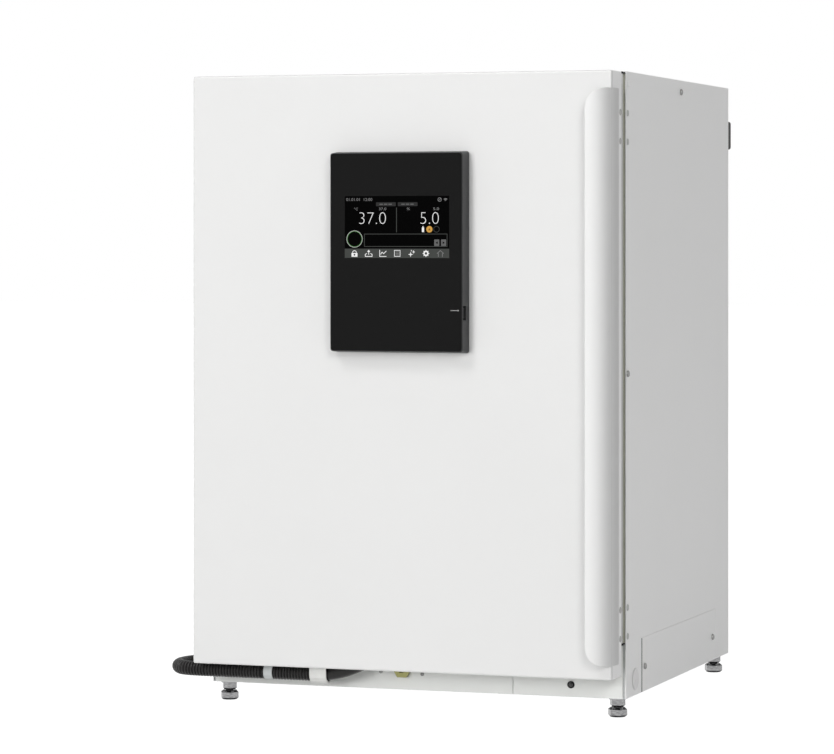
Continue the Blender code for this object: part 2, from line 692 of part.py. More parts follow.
def side_fittings(body):
    """The plug of the unused side port and the spacers that keep the cabinet off a wall."""
    plug = [(SIDE_PORT_RADIUS - GAP, HALF_WIDTH - PLUG_DEPTH), (SIDE_PORT_RADIUS - GAP, HALF_WIDTH + GAP),
            (SIDE_PLUG_RADIUS, HALF_WIDTH + GAP), (SIDE_PLUG_RADIUS, HALF_WIDTH + PLUG_HEAD * 0.6),
            (SIDE_PLUG_RADIUS - PLUG_HEAD * 0.6, HALF_WIDTH + PLUG_HEAD)]
    piece("side_port_plug", turned(plug, "X", SIDE_PORT_Y, SIDE_PORT_Z, 24), body, GREY_PLASTIC)
    high = CABINET_TOP - SPACER_TOP
    for name, right in (("rear_spacer_right", HALF_WIDTH - CASING_SHEET),
                        ("rear_spacer_left", CASING_SHEET - HALF_WIDTH + SPACER_WIDTH)):
        spacer = piece(name, box((right - SPACER_WIDTH, CABINET_DEPTH + GAP, high - SPACER_HEIGHT),
                                 (right, CABINET_DEPTH + SPACER_DEPTH, high)), body, BLACK_PLASTIC)
        soften(spacer, SPACER_EDGE)


# Insulated chamber

def chamber(body):
    """The foam block and the steel chamber with coved corners inside it."""
    steps = (0.0, 1 / 3, 2 / 3, 1.0)
    sheet = CHAMBER_SHEET

    def cove(margin, radius):
        """Loops that round the far end of the chamber, the smallest first."""
        loops = []
        for share in reversed(steps):
            inset = radius * (1 - cos(share * pi / 2))
            level = CHAMBER_BACK + margin - radius * (1 - sin(share * pi / 2))
            loops.append(lifted(grown(margin - inset, radius), "Y", level))
        return loops

    inner = cove(0.0, CHAMBER_COVE - sheet)
    outer = cove(sheet, CHAMBER_COVE)
    flange = grown(CHAMBER_FLANGE)
    rim = [lifted(grown(0.0, CHAMBER_COVE), "Y", CHAMBER_RIM), lifted(flange, "Y", CHAMBER_RIM),
           lifted(flange, "Y", CHAMBER_RIM + sheet),
           lifted(grown(sheet, CHAMBER_COVE + sheet), "Y", CHAMBER_RIM + sheet)]
    steel = piece("inner_chamber", loft(inner + rim + outer[::-1]), body, STEEL)
    port_hole = PORT_RADIUS + PORT_WALL + GAP
    start = CHAMBER_BACK - OVERCUT
    end = CHAMBER_BACK + OVERCUT
    cut(steel, merged([rod(SHAFT_HOLE_RADIUS, "Y", 0.0, FAN_Z, start, end),
                       rod(port_hole, "Y", PORT_X, PORT_Z, start, end, 24)]), "holes")

    room = sheet + GAP
    front = CHAMBER_RIM + GROOVE_DEPTH - CASING_SHEET
    bottom = BASE_TOP + GAP
    rear = CASING_REAR - GAP
    corner = CHAMBER_COVE
    block = [lifted(rounded(-INNER_HALF, bottom, INNER_HALF, FRAME_TOP, 0.002), "Y", level)
             for level in (rear, front)]
    cavity = [lifted(grown(room, corner), "Y", level) for level in (front, CHAMBER_BACK + room)]
    foam = piece("cabinet_insulation", loft(block + cavity), body, FOAM)
    end = CASING_REAR + OVERCUT
    cut(foam, merged([rod(MOTOR_RADIUS + GAP, "Y", 0.0, FAN_Z, start, end, 24),
                      rod(port_hole, "Y", PORT_X, PORT_Z, start, end, 24)]), "pockets")


def shelf_levels():
    """Heights of the shelves' undersides."""
    return [CHAMBER_FLOOR + FIRST_SHELF + SHELF_PITCH * number for number in range(SHELF_COUNT)]


def shelf_bracket(name, side, body):
    """Two uprights and the rails of one side, welded together, on a side wall of the chamber."""
    wall = CHAMBER_HALF - GAP
    front = CHAMBER_RIM + SHELF_FRONT
    low = CHAMBER_FLOOR + CHAMBER_COVE
    high = CHAMBER_CEILING - CHAMBER_COVE
    leg = sorted((side * wall, side * (wall - RAIL_SHEET)))
    bracket = None
    rails = []
    for level in shelf_levels():
        seat = level - GAP
        section = [(side * wall, seat - RAIL_WIDTH), (side * wall, seat),
                   (side * (wall - RAIL_WIDTH), seat), (side * (wall - RAIL_WIDTH), seat - RAIL_SHEET),
                   (side * (wall - 1.2 * RAIL_SHEET), seat - RAIL_SHEET),
                   (side * (wall - 1.2 * RAIL_SHEET), seat - RAIL_WIDTH)]
        rails.append(prism(section, "Y", front, front + SHELF_DEPTH * 0.97))
    for y in (front + SHELF_DEPTH * 0.12, front + SHELF_DEPTH * 0.84):
        upright = box((leg[0], y, low), (leg[1], y + UPRIGHT_DEPTH, high))
        if bracket is None:
            bracket = piece(name, upright, body, STEEL)
            weld(bracket, merged(rails), "rails")
        else:
            weld(bracket, upright, "rear_upright")


def shelf_mesh():
    """A perforated steel shelf with its edges folded down, drawn with its underside at zero."""
    half = SHELF_WIDTH / 2
    front = CHAMBER_RIM + SHELF_FRONT
    sheet = SHELF_SHEET
    outer = rounded(-half, front, half, front + SHELF_DEPTH, 0.004, 2)
    inner = rounded(-half + sheet, front + sheet, half - sheet, front + SHELF_DEPTH - sheet, 0.003, 2)
    loops = [lifted(outer, "Z", SHELF_HEIGHT), lifted(outer, "Z", 0.0), lifted(inner, "Z", 0.0),
             lifted(inner, "Z", SHELF_HEIGHT - sheet)]
    return make_mesh("shelf", loft(loops))


def shelf_holes():
    """Cutters for the rows of holes in a shelf."""
    step = SHELF_DEPTH / SHELF_HOLE_ROWS
    columns = round(SHELF_WIDTH / step)
    front = CHAMBER_RIM + SHELF_FRONT
    return merged([
        turned([(SHELF_HOLE_RADIUS, SHELF_HEIGHT / 2), (SHELF_HOLE_RADIUS, SHELF_HEIGHT + 0.005)], "Z",
               (column - (columns - 1) / 2) * SHELF_WIDTH / columns, front + (row + 0.5) * step, 6)
        for row in range(SHELF_HOLE_ROWS) for column in range(columns)])


def humidity_pan(body):
    """A shallow water tray on the chamber floor."""
    half = CHAMBER_HALF - PAN_SIDE
    front = CHAMBER_RIM + PAN_FRONT
    floor = CHAMBER_FLOOR + GAP
    wall = PAN_WALL

    def edge(margin, level):
        """Outline of the pan, grown by a margin."""
        outline = rounded(-half - margin, front - margin, half + margin, front + PAN_DEPTH + margin,
                          PAN_CORNER + margin)
        return lifted(outline, "Z", level)

    top = floor + PAN_HEIGHT
    loops = [edge(-wall - PAN_BEVEL, floor + wall), edge(-wall, floor + wall + PAN_BEVEL),
             edge(-wall, top), edge(PAN_RIM, top), edge(PAN_RIM, top - wall), edge(0.0, top - wall),
             edge(0.0, floor + PAN_BEVEL), edge(-PAN_BEVEL, floor)]
    piece("humidity_pan", loft(loops), body, STEEL)


def air_duct(body):
    """The steel cover of the air duct, with the fan's intake and a stack of outlet slots."""
    half = DUCT_WIDTH / 2
    sheet = CHAMBER_SHEET

    def edge(inset, level):
        """Outline of the duct, drawn in by an inset."""
        outline = rounded(-half + inset, DUCT_LOW + inset, half - inset, DUCT_HIGH - inset,
                          DUCT_CORNER - inset)
        return lifted(outline, "Y", level)

    back = CHAMBER_BACK - GAP
    bend = DUCT_BEVEL + sheet * (sqrt(2) - 1)
    loops = [edge(DUCT_BEVEL, DUCT_FRONT), edge(0.0, DUCT_FRONT + DUCT_BEVEL), edge(0.0, back),
             edge(sheet, back), edge(sheet, DUCT_FRONT + bend), edge(bend, DUCT_FRONT + sheet)]
    cover = piece("duct_cover", loft(loops), body, STEEL)
    start = DUCT_FRONT - OVERCUT
    end = DUCT_FRONT + OVERCUT
    reach = DUCT_SLOT_WIDTH / 2
    corner = DUCT_SLOT_HEIGHT * 0.49
    holes = [rod(FAN_MOUTH_RADIUS, "Y", 0.0, FAN_Z, start, end, 24)]
    for number in range(DUCT_SLOTS):
        low = DUCT_LOW + DUCT_SLOT_RISE + DUCT_SLOT_PITCH * number
        holes.append(prism(rounded(-reach, low, reach, low + DUCT_SLOT_HEIGHT, corner, 2), "Y", start, end))
    cut(cover, merged(holes), "air_holes")


def fan_blade(number, start, end):
    """One backward-curved blade between the impeller's shroud and its disc."""
    steps = 5
    turn = 2 * pi * number / FAN_BLADES
    near = []
    far = []
    for step in range(steps + 1):
        share = step / steps
        radius = FAN_BLADE_ROOT + (FAN_BLADE_TIP - FAN_BLADE_ROOT) * share
        angle = turn + FAN_BLADE_SWEEP * share ** 1.3
        reach = FAN_BLADE_SHEET / 2 / radius
        near.append((radius * cos(angle - reach), FAN_Z + radius * sin(angle - reach)))
        far.append((radius * cos(angle + reach), FAN_Z + radius * sin(angle + reach)))
    return prism(near + far[::-1], "Y", start, end)


def circulation_fan(body, fan):
    """The impeller on its shaft, and the motor that stands in the foam behind the chamber."""
    front = DUCT_FRONT + CHAMBER_SHEET + FAN_CLEARANCE
    back = front + FAN_DEPTH
    ring = 2 * FAN_SHEET
    disc = [(FAN_RADIUS, back), (FAN_RADIUS, back - FAN_SHEET), (FAN_HUB_RADIUS * 1.3, back - ring),
            (FAN_HUB_RADIUS, front + FAN_SHEET), (FAN_HUB_RADIUS * 0.7, front)]
    impeller = piece("fan_impeller", turned(disc, "Y", 0.0, FAN_Z, 24), fan, FAN_METAL)
    blades = [fan_blade(number, front + FAN_SHEET, back - FAN_SHEET / 2) for number in range(FAN_BLADES)]
    weld(impeller, merged(blades), "blades")
    shroud = [(FAN_RADIUS, front + ring), (FAN_RADIUS, front),
              (FAN_EYE_RADIUS, front), (FAN_EYE_RADIUS, front + ring)]
    weld(impeller, turned(shroud, "Y", 0.0, FAN_Z, 24, ring=True), "shroud")
    weld(impeller, rod(FAN_SHAFT_RADIUS, "Y", 0.0, FAN_Z,
                       back - FAN_SHEET / 2, CHAMBER_BACK + FAN_SHAFT_REACH, 12), "shaft")
    start = CHAMBER_BACK + CHAMBER_SHEET + 2 * GAP
    bore = FAN_SHAFT_RADIUS + GAP
    profile = [(bore, start), (MOTOR_NOSE_RADIUS, start), (MOTOR_NOSE_RADIUS, start + MOTOR_NOSE),
               (MOTOR_RADIUS, start + MOTOR_NOSE + 0.002), (MOTOR_RADIUS, start + MOTOR_DEPTH),
               (bore, start + MOTOR_DEPTH)]
    piece("fan_motor", turned(profile, "Y", 0.0, FAN_Z, 24, ring=True), body, GALVANISED)


def gas_sensor(body):
    """The gas sensor's sleeve and flange, on the chamber's ceiling."""
    tip = CHAMBER_CEILING - GAP - SENSOR_LENGTH
    flange = CHAMBER_CEILING - SENSOR_FLANGE
    profile = [(SENSOR_RADIUS * 0.7, tip), (SENSOR_RADIUS, tip + 0.003), (SENSOR_RADIUS, flange),
               (SENSOR_FLANGE_RADIUS, flange), (SENSOR_FLANGE_RADIUS, CHAMBER_CEILING - GAP)]
    piece("gas_sensor", turned(profile, "Z", SENSOR_X, CHAMBER_BACK - SENSOR_BACK), body, WHITE_PLASTIC)


def access_port(body, stopper):
    """The sleeve through the rear wall, and the soft stopper in its outer end."""
    outer = PORT_RADIUS + PORT_WALL
    inside = CHAMBER_BACK - PORT_LIP
    outside = CABINET_DEPTH + PORT_LIP
    profile = [(PORT_RADIUS, inside), (outer, inside), (outer, outside), (PORT_RADIUS, outside)]
    piece("access_port", turned(profile, "Y", PORT_X, PORT_Z, 24, ring=True), body, WHITE_PLASTIC)
    fit = PORT_RADIUS - GAP
    head = outside + STOPPER_HEAD
    round_off = STOPPER_HEAD / 4
    plug = [(fit - GAP, outside - STOPPER_INSERT), (fit, outside - STOPPER_INSERT / 6),
            (fit, outside + GAP), (STOPPER_HEAD_RADIUS, outside + GAP),
            (STOPPER_HEAD_RADIUS, head - round_off), (STOPPER_HEAD_RADIUS - round_off, head)]
    piece("port_stopper", turned(plug, "Y", PORT_X, PORT_Z, 24), stopper, SILICONE)


def gas_inlets(body):
    """Two hose barbs on a block behind the rear panel."""
    block_back = CASING_REAR - 2 * GAP - CASING_SHEET
    block_front = block_back - GAS_BLOCK_DEPTH
    face = CABINET_DEPTH + GAP
    collar = CABINET_DEPTH + GAS_COLLAR
    stem = [(GAS_BARB_RADIUS, block_front + GAS_BLOCK_DEPTH / 6), (GAS_BARB_RADIUS, face),
            (GAS_COLLAR_RADIUS, face), (GAS_COLLAR_RADIUS, collar)]
    neck = GAS_BARB_RADIUS * 0.78
    for number in range(GAS_BARBS):
        level = collar + GAS_BARB_PITCH * number
        stem += [(neck, level), (GAS_BARB_RADIUS * 1.05, level + GAS_BARB_PITCH / 10),
                 (neck, level + GAS_BARB_PITCH * 0.95)]
    left = min(GAS_INLET_XS) - GAS_BLOCK_END
    right = max(GAS_INLET_XS) + GAS_BLOCK_END
    half_z = GAS_BLOCK_HEIGHT / 2
    manifold = piece("gas_inlets", box((left, block_front, INLET_Z - half_z),
                                       (right, block_back, INLET_Z + half_z)), body, BRASS)
    weld(manifold, merged([turned(stem, "Y", x, INLET_Z, 10) for x in GAS_INLET_XS]), "barbs")


def power_parts(body):
    """The mains inlet in the rear panel and the control box in the base pan."""
    proud = CABINET_DEPTH + MAINS_REACH
    floor = proud - MAINS_DEPTH
    inlet = piece("mains_inlet", mains_block(0.0, floor - MAINS_BACK, proud), body, BLACK_PLASTIC)
    half_x = MAINS_WIDTH / 2 - MAINS_WALL
    half_z = MAINS_HEIGHT / 2 - MAINS_WALL
    recess = rounded(MAINS_INLET_X - half_x, INLET_Z - half_z,
                     MAINS_INLET_X + half_x, INLET_Z + half_z, 2 * MAINS_WALL, 2)
    cut(inlet, prism(recess, "Y", floor, proud + OVERCUT), "recess")
    front = 2 * CASING_SHEET + BASE_RETURN + CONTROL_BOX_MARGIN
    rear = CASING_REAR - BASE_RETURN - CONTROL_BOX_MARGIN
    half = CONTROL_BOX_WIDTH / 2
    electronics = piece("control_box", box((-half, front, FOOT_HEIGHT + CASING_SHEET + GAP),
                                           (half, rear, BASE_TOP - CONTROL_BOX_DROP)), body, GALVANISED)
    soften(electronics, 0.002, 1)


# Outer door

def outer_door(body):
    """Skin, foam, liner and gasket of the insulated door."""

    def edge(inset, corner):
        """Outline of the door, drawn in by an inset."""
        return rounded(-HALF_WIDTH + inset, DOOR_BOTTOM + inset,
                       HALF_WIDTH - inset, DOOR_TOP - inset, corner, 2)

    loops = []
    for share in (1.0, 0.5, 0.0):
        inset = DOOR_EDGE * (1 - cos(share * pi / 2))
        level = DOOR_FRONT + DOOR_EDGE * (1 - sin(share * pi / 2))
        loops.append(lifted(edge(inset, DOOR_CORNER), "Y", level))
    within = DOOR_CORNER / 2
    loops += [lifted(edge(0.0, DOOR_CORNER), "Y", DOOR_BACK),
              lifted(edge(DOOR_SHEET, within), "Y", DOOR_BACK),
              lifted(edge(DOOR_SHEET, within), "Y", DOOR_FRONT + DOOR_EDGE),
              lifted(edge(DOOR_EDGE, within), "Y", DOOR_FRONT + DOOR_SHEET)]
    skin = piece("door_skin", loft(loops), body, WHITE_PAINT)
    fill = DOOR_EDGE + GAP
    foam = piece("door_insulation", prism(edge(fill, within), "Y", DOOR_FRONT + DOOR_SHEET + GAP,
                                          DOOR_BACK - LINER_SHEET - GAP), body, FOAM)
    piece("door_liner", prism(edge(DOOR_SHEET + GAP, within), "Y", DOOR_BACK - LINER_SHEET, DOOR_BACK),
          body, WHITE_PAINT)
    hole = conduit_hole()
    cut(skin, hole.copy(), "conduit_hole")
    cut(foam, hole, "conduit_hole")


def door_gasket(body):
    """The waisted seal between the door's liner and the cabinet's front frame."""
    outer_half = FRAME_HALF - GASKET_INSET
    low = BASE_TOP + GASKET_INSET
    high = FRAME_TOP - GASKET_INSET

    def seal(margin, level):
        """One loop of the gasket, drawn in by a margin."""
        outline = rounded(-outer_half + margin, low + margin, outer_half - margin, high - margin, 0.004, 2)
        return lifted(outline, "Y", level)

    back = DOOR_BACK + GAP
    face = -GAP
    middle = (back + face) / 2
    width = GASKET_WIDTH
    lip = GASKET_LIP
    section = [(0.0, back), (0.0, back + lip), (GASKET_WAIST, middle), (0.0, face - lip), (0.0, face),
               (width, face), (width, face - lip), (width - GASKET_WAIST, middle), (width, back + lip),
               (width, back)]
    piece("door_gasket", loft([seal(margin, level) for margin, level in section], ring=True), body, RUBBER)


def handle_profile():
    """Pairs of outer and inner points from the free lip round to the tail on the door's side."""
    centre_x = HALF_WIDTH + GAP + HANDLE_BLADE - HANDLE_RADIUS
    centre_y = DOOR_FRONT - HANDLE_REACH + HANDLE_RADIUS
    inner_radius = HANDLE_RADIUS - HANDLE_BLADE
    lip_x = HALF_WIDTH - HANDLE_LIP
    pairs = [((lip_x, centre_y - HANDLE_RADIUS), (lip_x, centre_y - inner_radius))]
    steps = 12
    for step in range(steps + 1):
        angle = -pi / 2 + pi / 2 * step / steps
        pairs.append(tuple((centre_x + radius * cos(angle), centre_y + radius * sin(angle))
                           for radius in (HANDLE_RADIUS, inner_radius)))
    tail = DOOR_FRONT + HANDLE_TAIL
    pairs.append(((centre_x + HANDLE_RADIUS, tail), (centre_x + inner_radius, tail)))
    return pairs


def handle(body):
    """The curved blade, with its free edge rounded off at top and bottom."""
    low = DOOR_BOTTOM + HANDLE_BOTTOM_RISE
    high = DOOR_TOP - HANDLE_TOP_DROP
    lip_x = HALF_WIDTH - HANDLE_LIP
    shape = bmesh.new()
    rows = []
    for outer, inner in handle_profile():
        share = max(0.0, 1 - (outer[0] - lip_x) / HANDLE_CUT_WIDTH)
        drop = HANDLE_CUT_HEIGHT * (1 - sqrt(max(0.0, 1 - share * share)))
        corners = ((*outer, low + drop), (*outer, high - drop), (*inner, high - drop), (*inner, low + drop))
        rows.append([shape.verts.new(corner) for corner in corners])
    for row, after in zip(rows, rows[1:]):
        for index in range(4):
            following = (index + 1) % 4
            shape.faces.new((row[index], row[following], after[following], after[index]))
    shape.faces.new(rows[0][::-1])
    shape.faces.new(rows[-1])
    bmesh.ops.recalc_face_normals(shape, faces=shape.faces)
    piece("door_handle", shape, body, WHITE_PAINT)


def control_panel(body):
    """The panel's moulded housing with its fascia, screen and side socket."""

    def edge(margin, level, corner=PANEL_CORNER):
        """Outline of the panel's face, grown by a margin."""
        outline = rounded(PANEL_LEFT - margin, PANEL_BOTTOM - margin,
                          PANEL_RIGHT + margin, PANEL_TOP + margin, corner, 3)
        return lifted(outline, "Y", level)

    back = DOOR_FRONT - GAP
    face = PANEL_FACE + GAP
    wall = PANEL_WALL
    loops = [edge(-0.0010, face), edge(0.0, face + 0.0010), edge(PANEL_DRAFT, back),
             edge(PANEL_DRAFT - wall, back, 0.001), edge(-wall, face + wall + FASCIA_SHEET, 0.001)]
    housing = piece("panel_housing", loft(loops), body, BLACK_PLASTIC)
    seat = rounded(PANEL_LEFT + FASCIA_INSET - GAP, PANEL_BOTTOM + FASCIA_INSET - GAP,
                   PANEL_RIGHT - FASCIA_INSET + GAP, PANEL_TOP - FASCIA_INSET + GAP, PANEL_CORNER, 3)
    cut(housing, prism(seat, "Y", face - OVERCUT, PANEL_FACE + FASCIA_SHEET + GAP), "fascia_seat")
    fascia = rounded(PANEL_LEFT + FASCIA_INSET, PANEL_BOTTOM + FASCIA_INSET, PANEL_RIGHT - FASCIA_INSET,
                     PANEL_TOP - FASCIA_INSET, PANEL_CORNER, 3)
    piece("display_glass", prism(fascia, "Y", PANEL_FACE, PANEL_FACE + FASCIA_SHEET), body, BLACK_GLASS)
    half_y = SOCKET_WIDTH / 2
    half_z = SOCKET_HEIGHT / 2
    middle = PANEL_FACE + SOCKET_FRONT
    floor = PANEL_RIGHT - SOCKET_DEPTH
    weld(housing, box((floor - wall, face + wall, SOCKET_Z - half_z - wall),
                      (PANEL_RIGHT - wall / 2, middle + half_y + wall, SOCKET_Z + half_z + wall)),
         "socket_box")
    cut(housing, box((floor, middle - half_y, SOCKET_Z - half_z),
                     (PANEL_RIGHT + OVERCUT, middle + half_y, SOCKET_Z + half_z)), "socket")


# Hinges

def hinge_leaf(name, height, forward, body):
    """One hinge leaf on the left side: a plate with a web out to its half of the barrel."""
    x_inner = -HALF_WIDTH - GAP
    x_outer = x_inner - HINGE_LEAF
    way = -1 if forward else 1
    level = height - way * GAP
    tip = height - way * HINGE_HALF
    far = height + way * HINGE_HALF
    reach = PIVOT.y + way * (HINGE_HOLE_OFFSET + HINGE_MARGIN)
    near = PIVOT.y + way * (KNUCKLE_RADIUS + 2 * GAP)
    web = PIVOT.y - way * HINGE_LEAF / 2
    outline = [(reach, tip), (reach, far), (near, far), (near, level), (web, level), (web, tip)]
    leaf = piece(name, prism(outline, "X", x_outer, x_inner), body, WHITE_PAINT)
    low, high = sorted((tip, level))
    weld(leaf, box((PIVOT.x, PIVOT.y - HINGE_LEAF / 2, low),
                   (x_outer + HINGE_LEAF / 4, PIVOT.y + HINGE_LEAF / 2, high)), "web")
    weld(leaf, rod(KNUCKLE_RADIUS, "Z", PIVOT.x, PIVOT.y, low, high, 20), "barrel")
    if forward:
        cut(leaf, rod(PIN_RADIUS + GAP, "Z", PIVOT.x, PIVOT.y, low - OVERCUT, high + OVERCUT), "bore")
    else:
        pin = [(PIN_RADIUS, low + HINGE_HALF / 2), (PIN_RADIUS, height + HINGE_HALF),
               (PIN_RADIUS * 0.7, height + HINGE_HALF + 0.001)]
        weld(leaf, turned(pin, "Z", PIVOT.x, PIVOT.y, 16), "pin")


def door_hinges(cabinet, door):
    """Two hinges: the cabinet's leaves carry the pins that the door's leaves turn on."""
    for place, height in zip(("lower", "upper"), HINGE_HEIGHTS):
        hinge_leaf(f"hinge_{place}_cabinet_leaf", height, False, cabinet)
        hinge_leaf(f"hinge_{place}_door_leaf", height, True, door)


# Inner door

def glass_door(cabinet, door):
    """The glass pane and the lipped gasket that it closes on."""
    near = INNER_GASKET_INSET
    far = near + INNER_GASKET_WIDTH
    tip = near + INNER_GASKET_WIDTH * 0.6
    depth = INNER_GASKET_DEPTH
    section = [(near, -GAP), (far, -GAP), (far, -GAP - depth * 0.55), (tip, -GAP - depth),
               (near, -GAP - depth * 0.8)]
    ring = loft([lifted(grown(margin), "Y", level) for margin, level in section], ring=True)
    piece("inner_gasket", ring, cabinet, RUBBER)
    outline = grown(GLASS_OVERLAP, GLASS_CORNER)
    glass = piece("inner_glass", prism(outline, "Y", GLASS_BACK, GLASS_FRONT), door, GLASS)
    cut(glass, rod(LATCH_STEM_RADIUS + GAP, "Y", LATCH_AXIS.x, LATCH_AXIS.z,
                   GLASS_FRONT - OVERCUT, GLASS_BACK + OVERCUT), "latch_hole")


def glass_door_hinges(cabinet, door):
    """The strip on the front frame that carries the pins, and the strip that clamps the glass."""
    x = INNER_PIVOT.x
    y = INNER_PIVOT.y
    low = CHAMBER_FLOOR + INNER_STRIP_INSET
    high = CHAMBER_CEILING - INNER_STRIP_INSET
    half = INNER_KNUCKLE_HALF
    knuckle = INNER_KNUCKLE_RADIUS
    sheet = INNER_STRIP_SHEET
    pin = INNER_PIN_RADIUS
    heights = INNER_HINGE_HEIGHTS
    strip = piece("inner_hinge_strip", box((x - knuckle, -GAP - sheet, low), (x + knuckle, -GAP, high)),
                  cabinet, STEEL)
    weld(strip, merged([box((x - sheet, y, z - half), (x + sheet, -GAP - sheet / 2, z - GAP))
                        for z in heights]), "webs")
    weld(strip, merged([rod(knuckle, "Z", x, y, z - half, z - GAP, 12) for z in heights]), "knuckles")
    weld(strip, merged([rod(pin, "Z", x, y, z - half / 2, z + half, 12) for z in heights]), "pins")
    face = GLASS_FRONT - GAP
    grip = INNER_STRIP_GRIP - GLASS_HALF
    clamp = piece("inner_door_strip", box((-GLASS_HALF - GAP - sheet, face - sheet, low),
                                          (grip, face, high)), door, STEEL)
    arm_end = grip - INNER_STRIP_GRIP / 2
    weld(clamp, merged([box((x, face - sheet, z + GAP), (arm_end, face - sheet / 4, z + half))
                        for z in heights]), "arms")
    weld(clamp, merged([rod(knuckle, "Z", x, y, z + GAP, z + half, 12) for z in heights]), "eyes")
    cut(clamp, merged([rod(pin + GAP, "Z", x, y, z - half, z + 2 * half, 12) for z in heights]),
        "eye_bores")


def glass_door_latch(cabinet, latch):
    """The lever that turns in the glass, and the catch on the front frame that its nose goes behind."""
    x = LATCH_AXIS.x
    z = LATCH_AXIS.z
    back = GLASS_FRONT - LATCH_STANDOFF
    front = back - LATCH_THICKNESS
    post = x + LATCH_NOSE + LATCH_CLEARANCE
    lip_back = front - 2 * GAP
    lip_front = lip_back - CATCH_SHEET
    catch = piece("latch_catch", box((post, lip_front, z - CATCH_HALF),
                                     (post + CATCH_WIDTH, -GAP, z + CATCH_HALF)), cabinet, STEEL)
    weld(catch, box((post - CATCH_LIP, lip_front, z - CATCH_HALF),
                    (post + CATCH_WIDTH / 2, lip_back, z + CATCH_HALF)), "lip")
    half = LATCH_WIDTH / 2
    lever = piece("latch_lever", prism(rounded(x - half, z - LATCH_GRIP, x + half, z + LATCH_NOSE, 0.004, 3),
                                       "Y", front, back), latch, STEEL)
    boss = [(LATCH_BOSS_RADIUS, front - 2 * GAP), (LATCH_BOSS_RADIUS, GLASS_FRONT - GAP),
            (LATCH_STEM_RADIUS, GLASS_FRONT - GAP), (LATCH_STEM_RADIUS, GLASS_BACK + GAP)]
    weld(lever, turned(boss, "Y", x, z), "boss")


def door_switch(body, plunger):
    """The switch that tells whether the door is closed; the door presses its plunger."""
    z = CHAMBER_CEILING + SWITCH_RISE
    half_x = SWITCH_WIDTH / 2
    half_z = SWITCH_HEIGHT / 2
    front = -SWITCH_HOUSING_DEPTH
    housing = piece("door_switch", box((SWITCH_X - half_x, front, z - half_z),
                                       (SWITCH_X + half_x, -GAP, z + half_z)), body, WHITE_PLASTIC)
    radius = SWITCH_PLUNGER_RADIUS
    cut(housing, rod(radius + GAP, "Y", SWITCH_X, z, front - OVERCUT, -SWITCH_FLOOR, 12), "bore")
    tip = DOOR_BACK + GAP
    profile = [(radius * 0.6, tip), (radius, tip + radius / 2), (radius, -SWITCH_FLOOR - SWITCH_TRAVEL)]
    piece("switch_plunger", turned(profile, "Y", SWITCH_X, z, 12), plunger, BLACK_PLASTIC)


# Feet and conduit

def foot_places():
    """Plan positions of the four feet."""
    x = HALF_WIDTH - FOOT_SIDE_INSET
    front = FOOT_FRONT_INSET
    rear = CABINET_DEPTH - FOOT_REAR_INSET
    return [(-x, front), (x, front), (-x, rear), (x, rear)]


def foot_mesh():
    """A levelling foot: a chamfered hexagonal pad on a stud, drawn round its own axis."""
    slim = PAD_FLATS - 2 * PAD_BEVEL
    loops = [lifted(hexagon(0.0, 0.0, flats, FOOT_TURN), "Z", level)
             for flats, level in ((slim, 0.0), (PAD_FLATS, PAD_BEVEL), (PAD_FLATS, PAD_HEIGHT - PAD_BEVEL),
                                  (slim, PAD_HEIGHT))]
    loops += [lifted(circle(0.0, 0.0, STUD_RADIUS, 12, FOOT_TURN), "Z", level)
              for level in (PAD_HEIGHT, FOOT_HEIGHT + STUD_RISE)]
    return make_mesh("foot", loft(loops))


def conduit_route():
    """Smooth points of the conduit's run on the door, with the scale of its radius at each."""
    points = [Vector((inward - HALF_WIDTH, DOOR_ROUTE_Y, z)) for inward, z in DOOR_ROUTE]
    route = smooth_route(points, 2.2 * CONDUIT_RADIUS)
    scales = [1.0 if point.x < TAIL_START - HALF_WIDTH else CONDUIT_TAIL_SCALE for point in route]
    return route, scales


def conduit_hole():
    """A slanted hole that the conduit's tail enters the door through."""
    route, _ = conduit_route()
    inward, height = DOOR_ROUTE[4]
    start = Vector((inward - HALF_WIDTH, DOOR_ROUTE_Y, height))
    end = route[-1] + (route[-1] - start) * 0.25
    slope = (end.z - start.z) / (end.x - start.x)
    radius = CONDUIT_RADIUS * CONDUIT_TAIL_SCALE * 1.22 + GAP
    loops = []
    for x in (start.x - 0.02, end.x):
        z = start.z + slope * (x - start.x)
        loops.append([(x, DOOR_ROUTE_Y + u, z + v) for u, v in circle(0.0, 0.0, radius, 16)])
    return loft(loops)


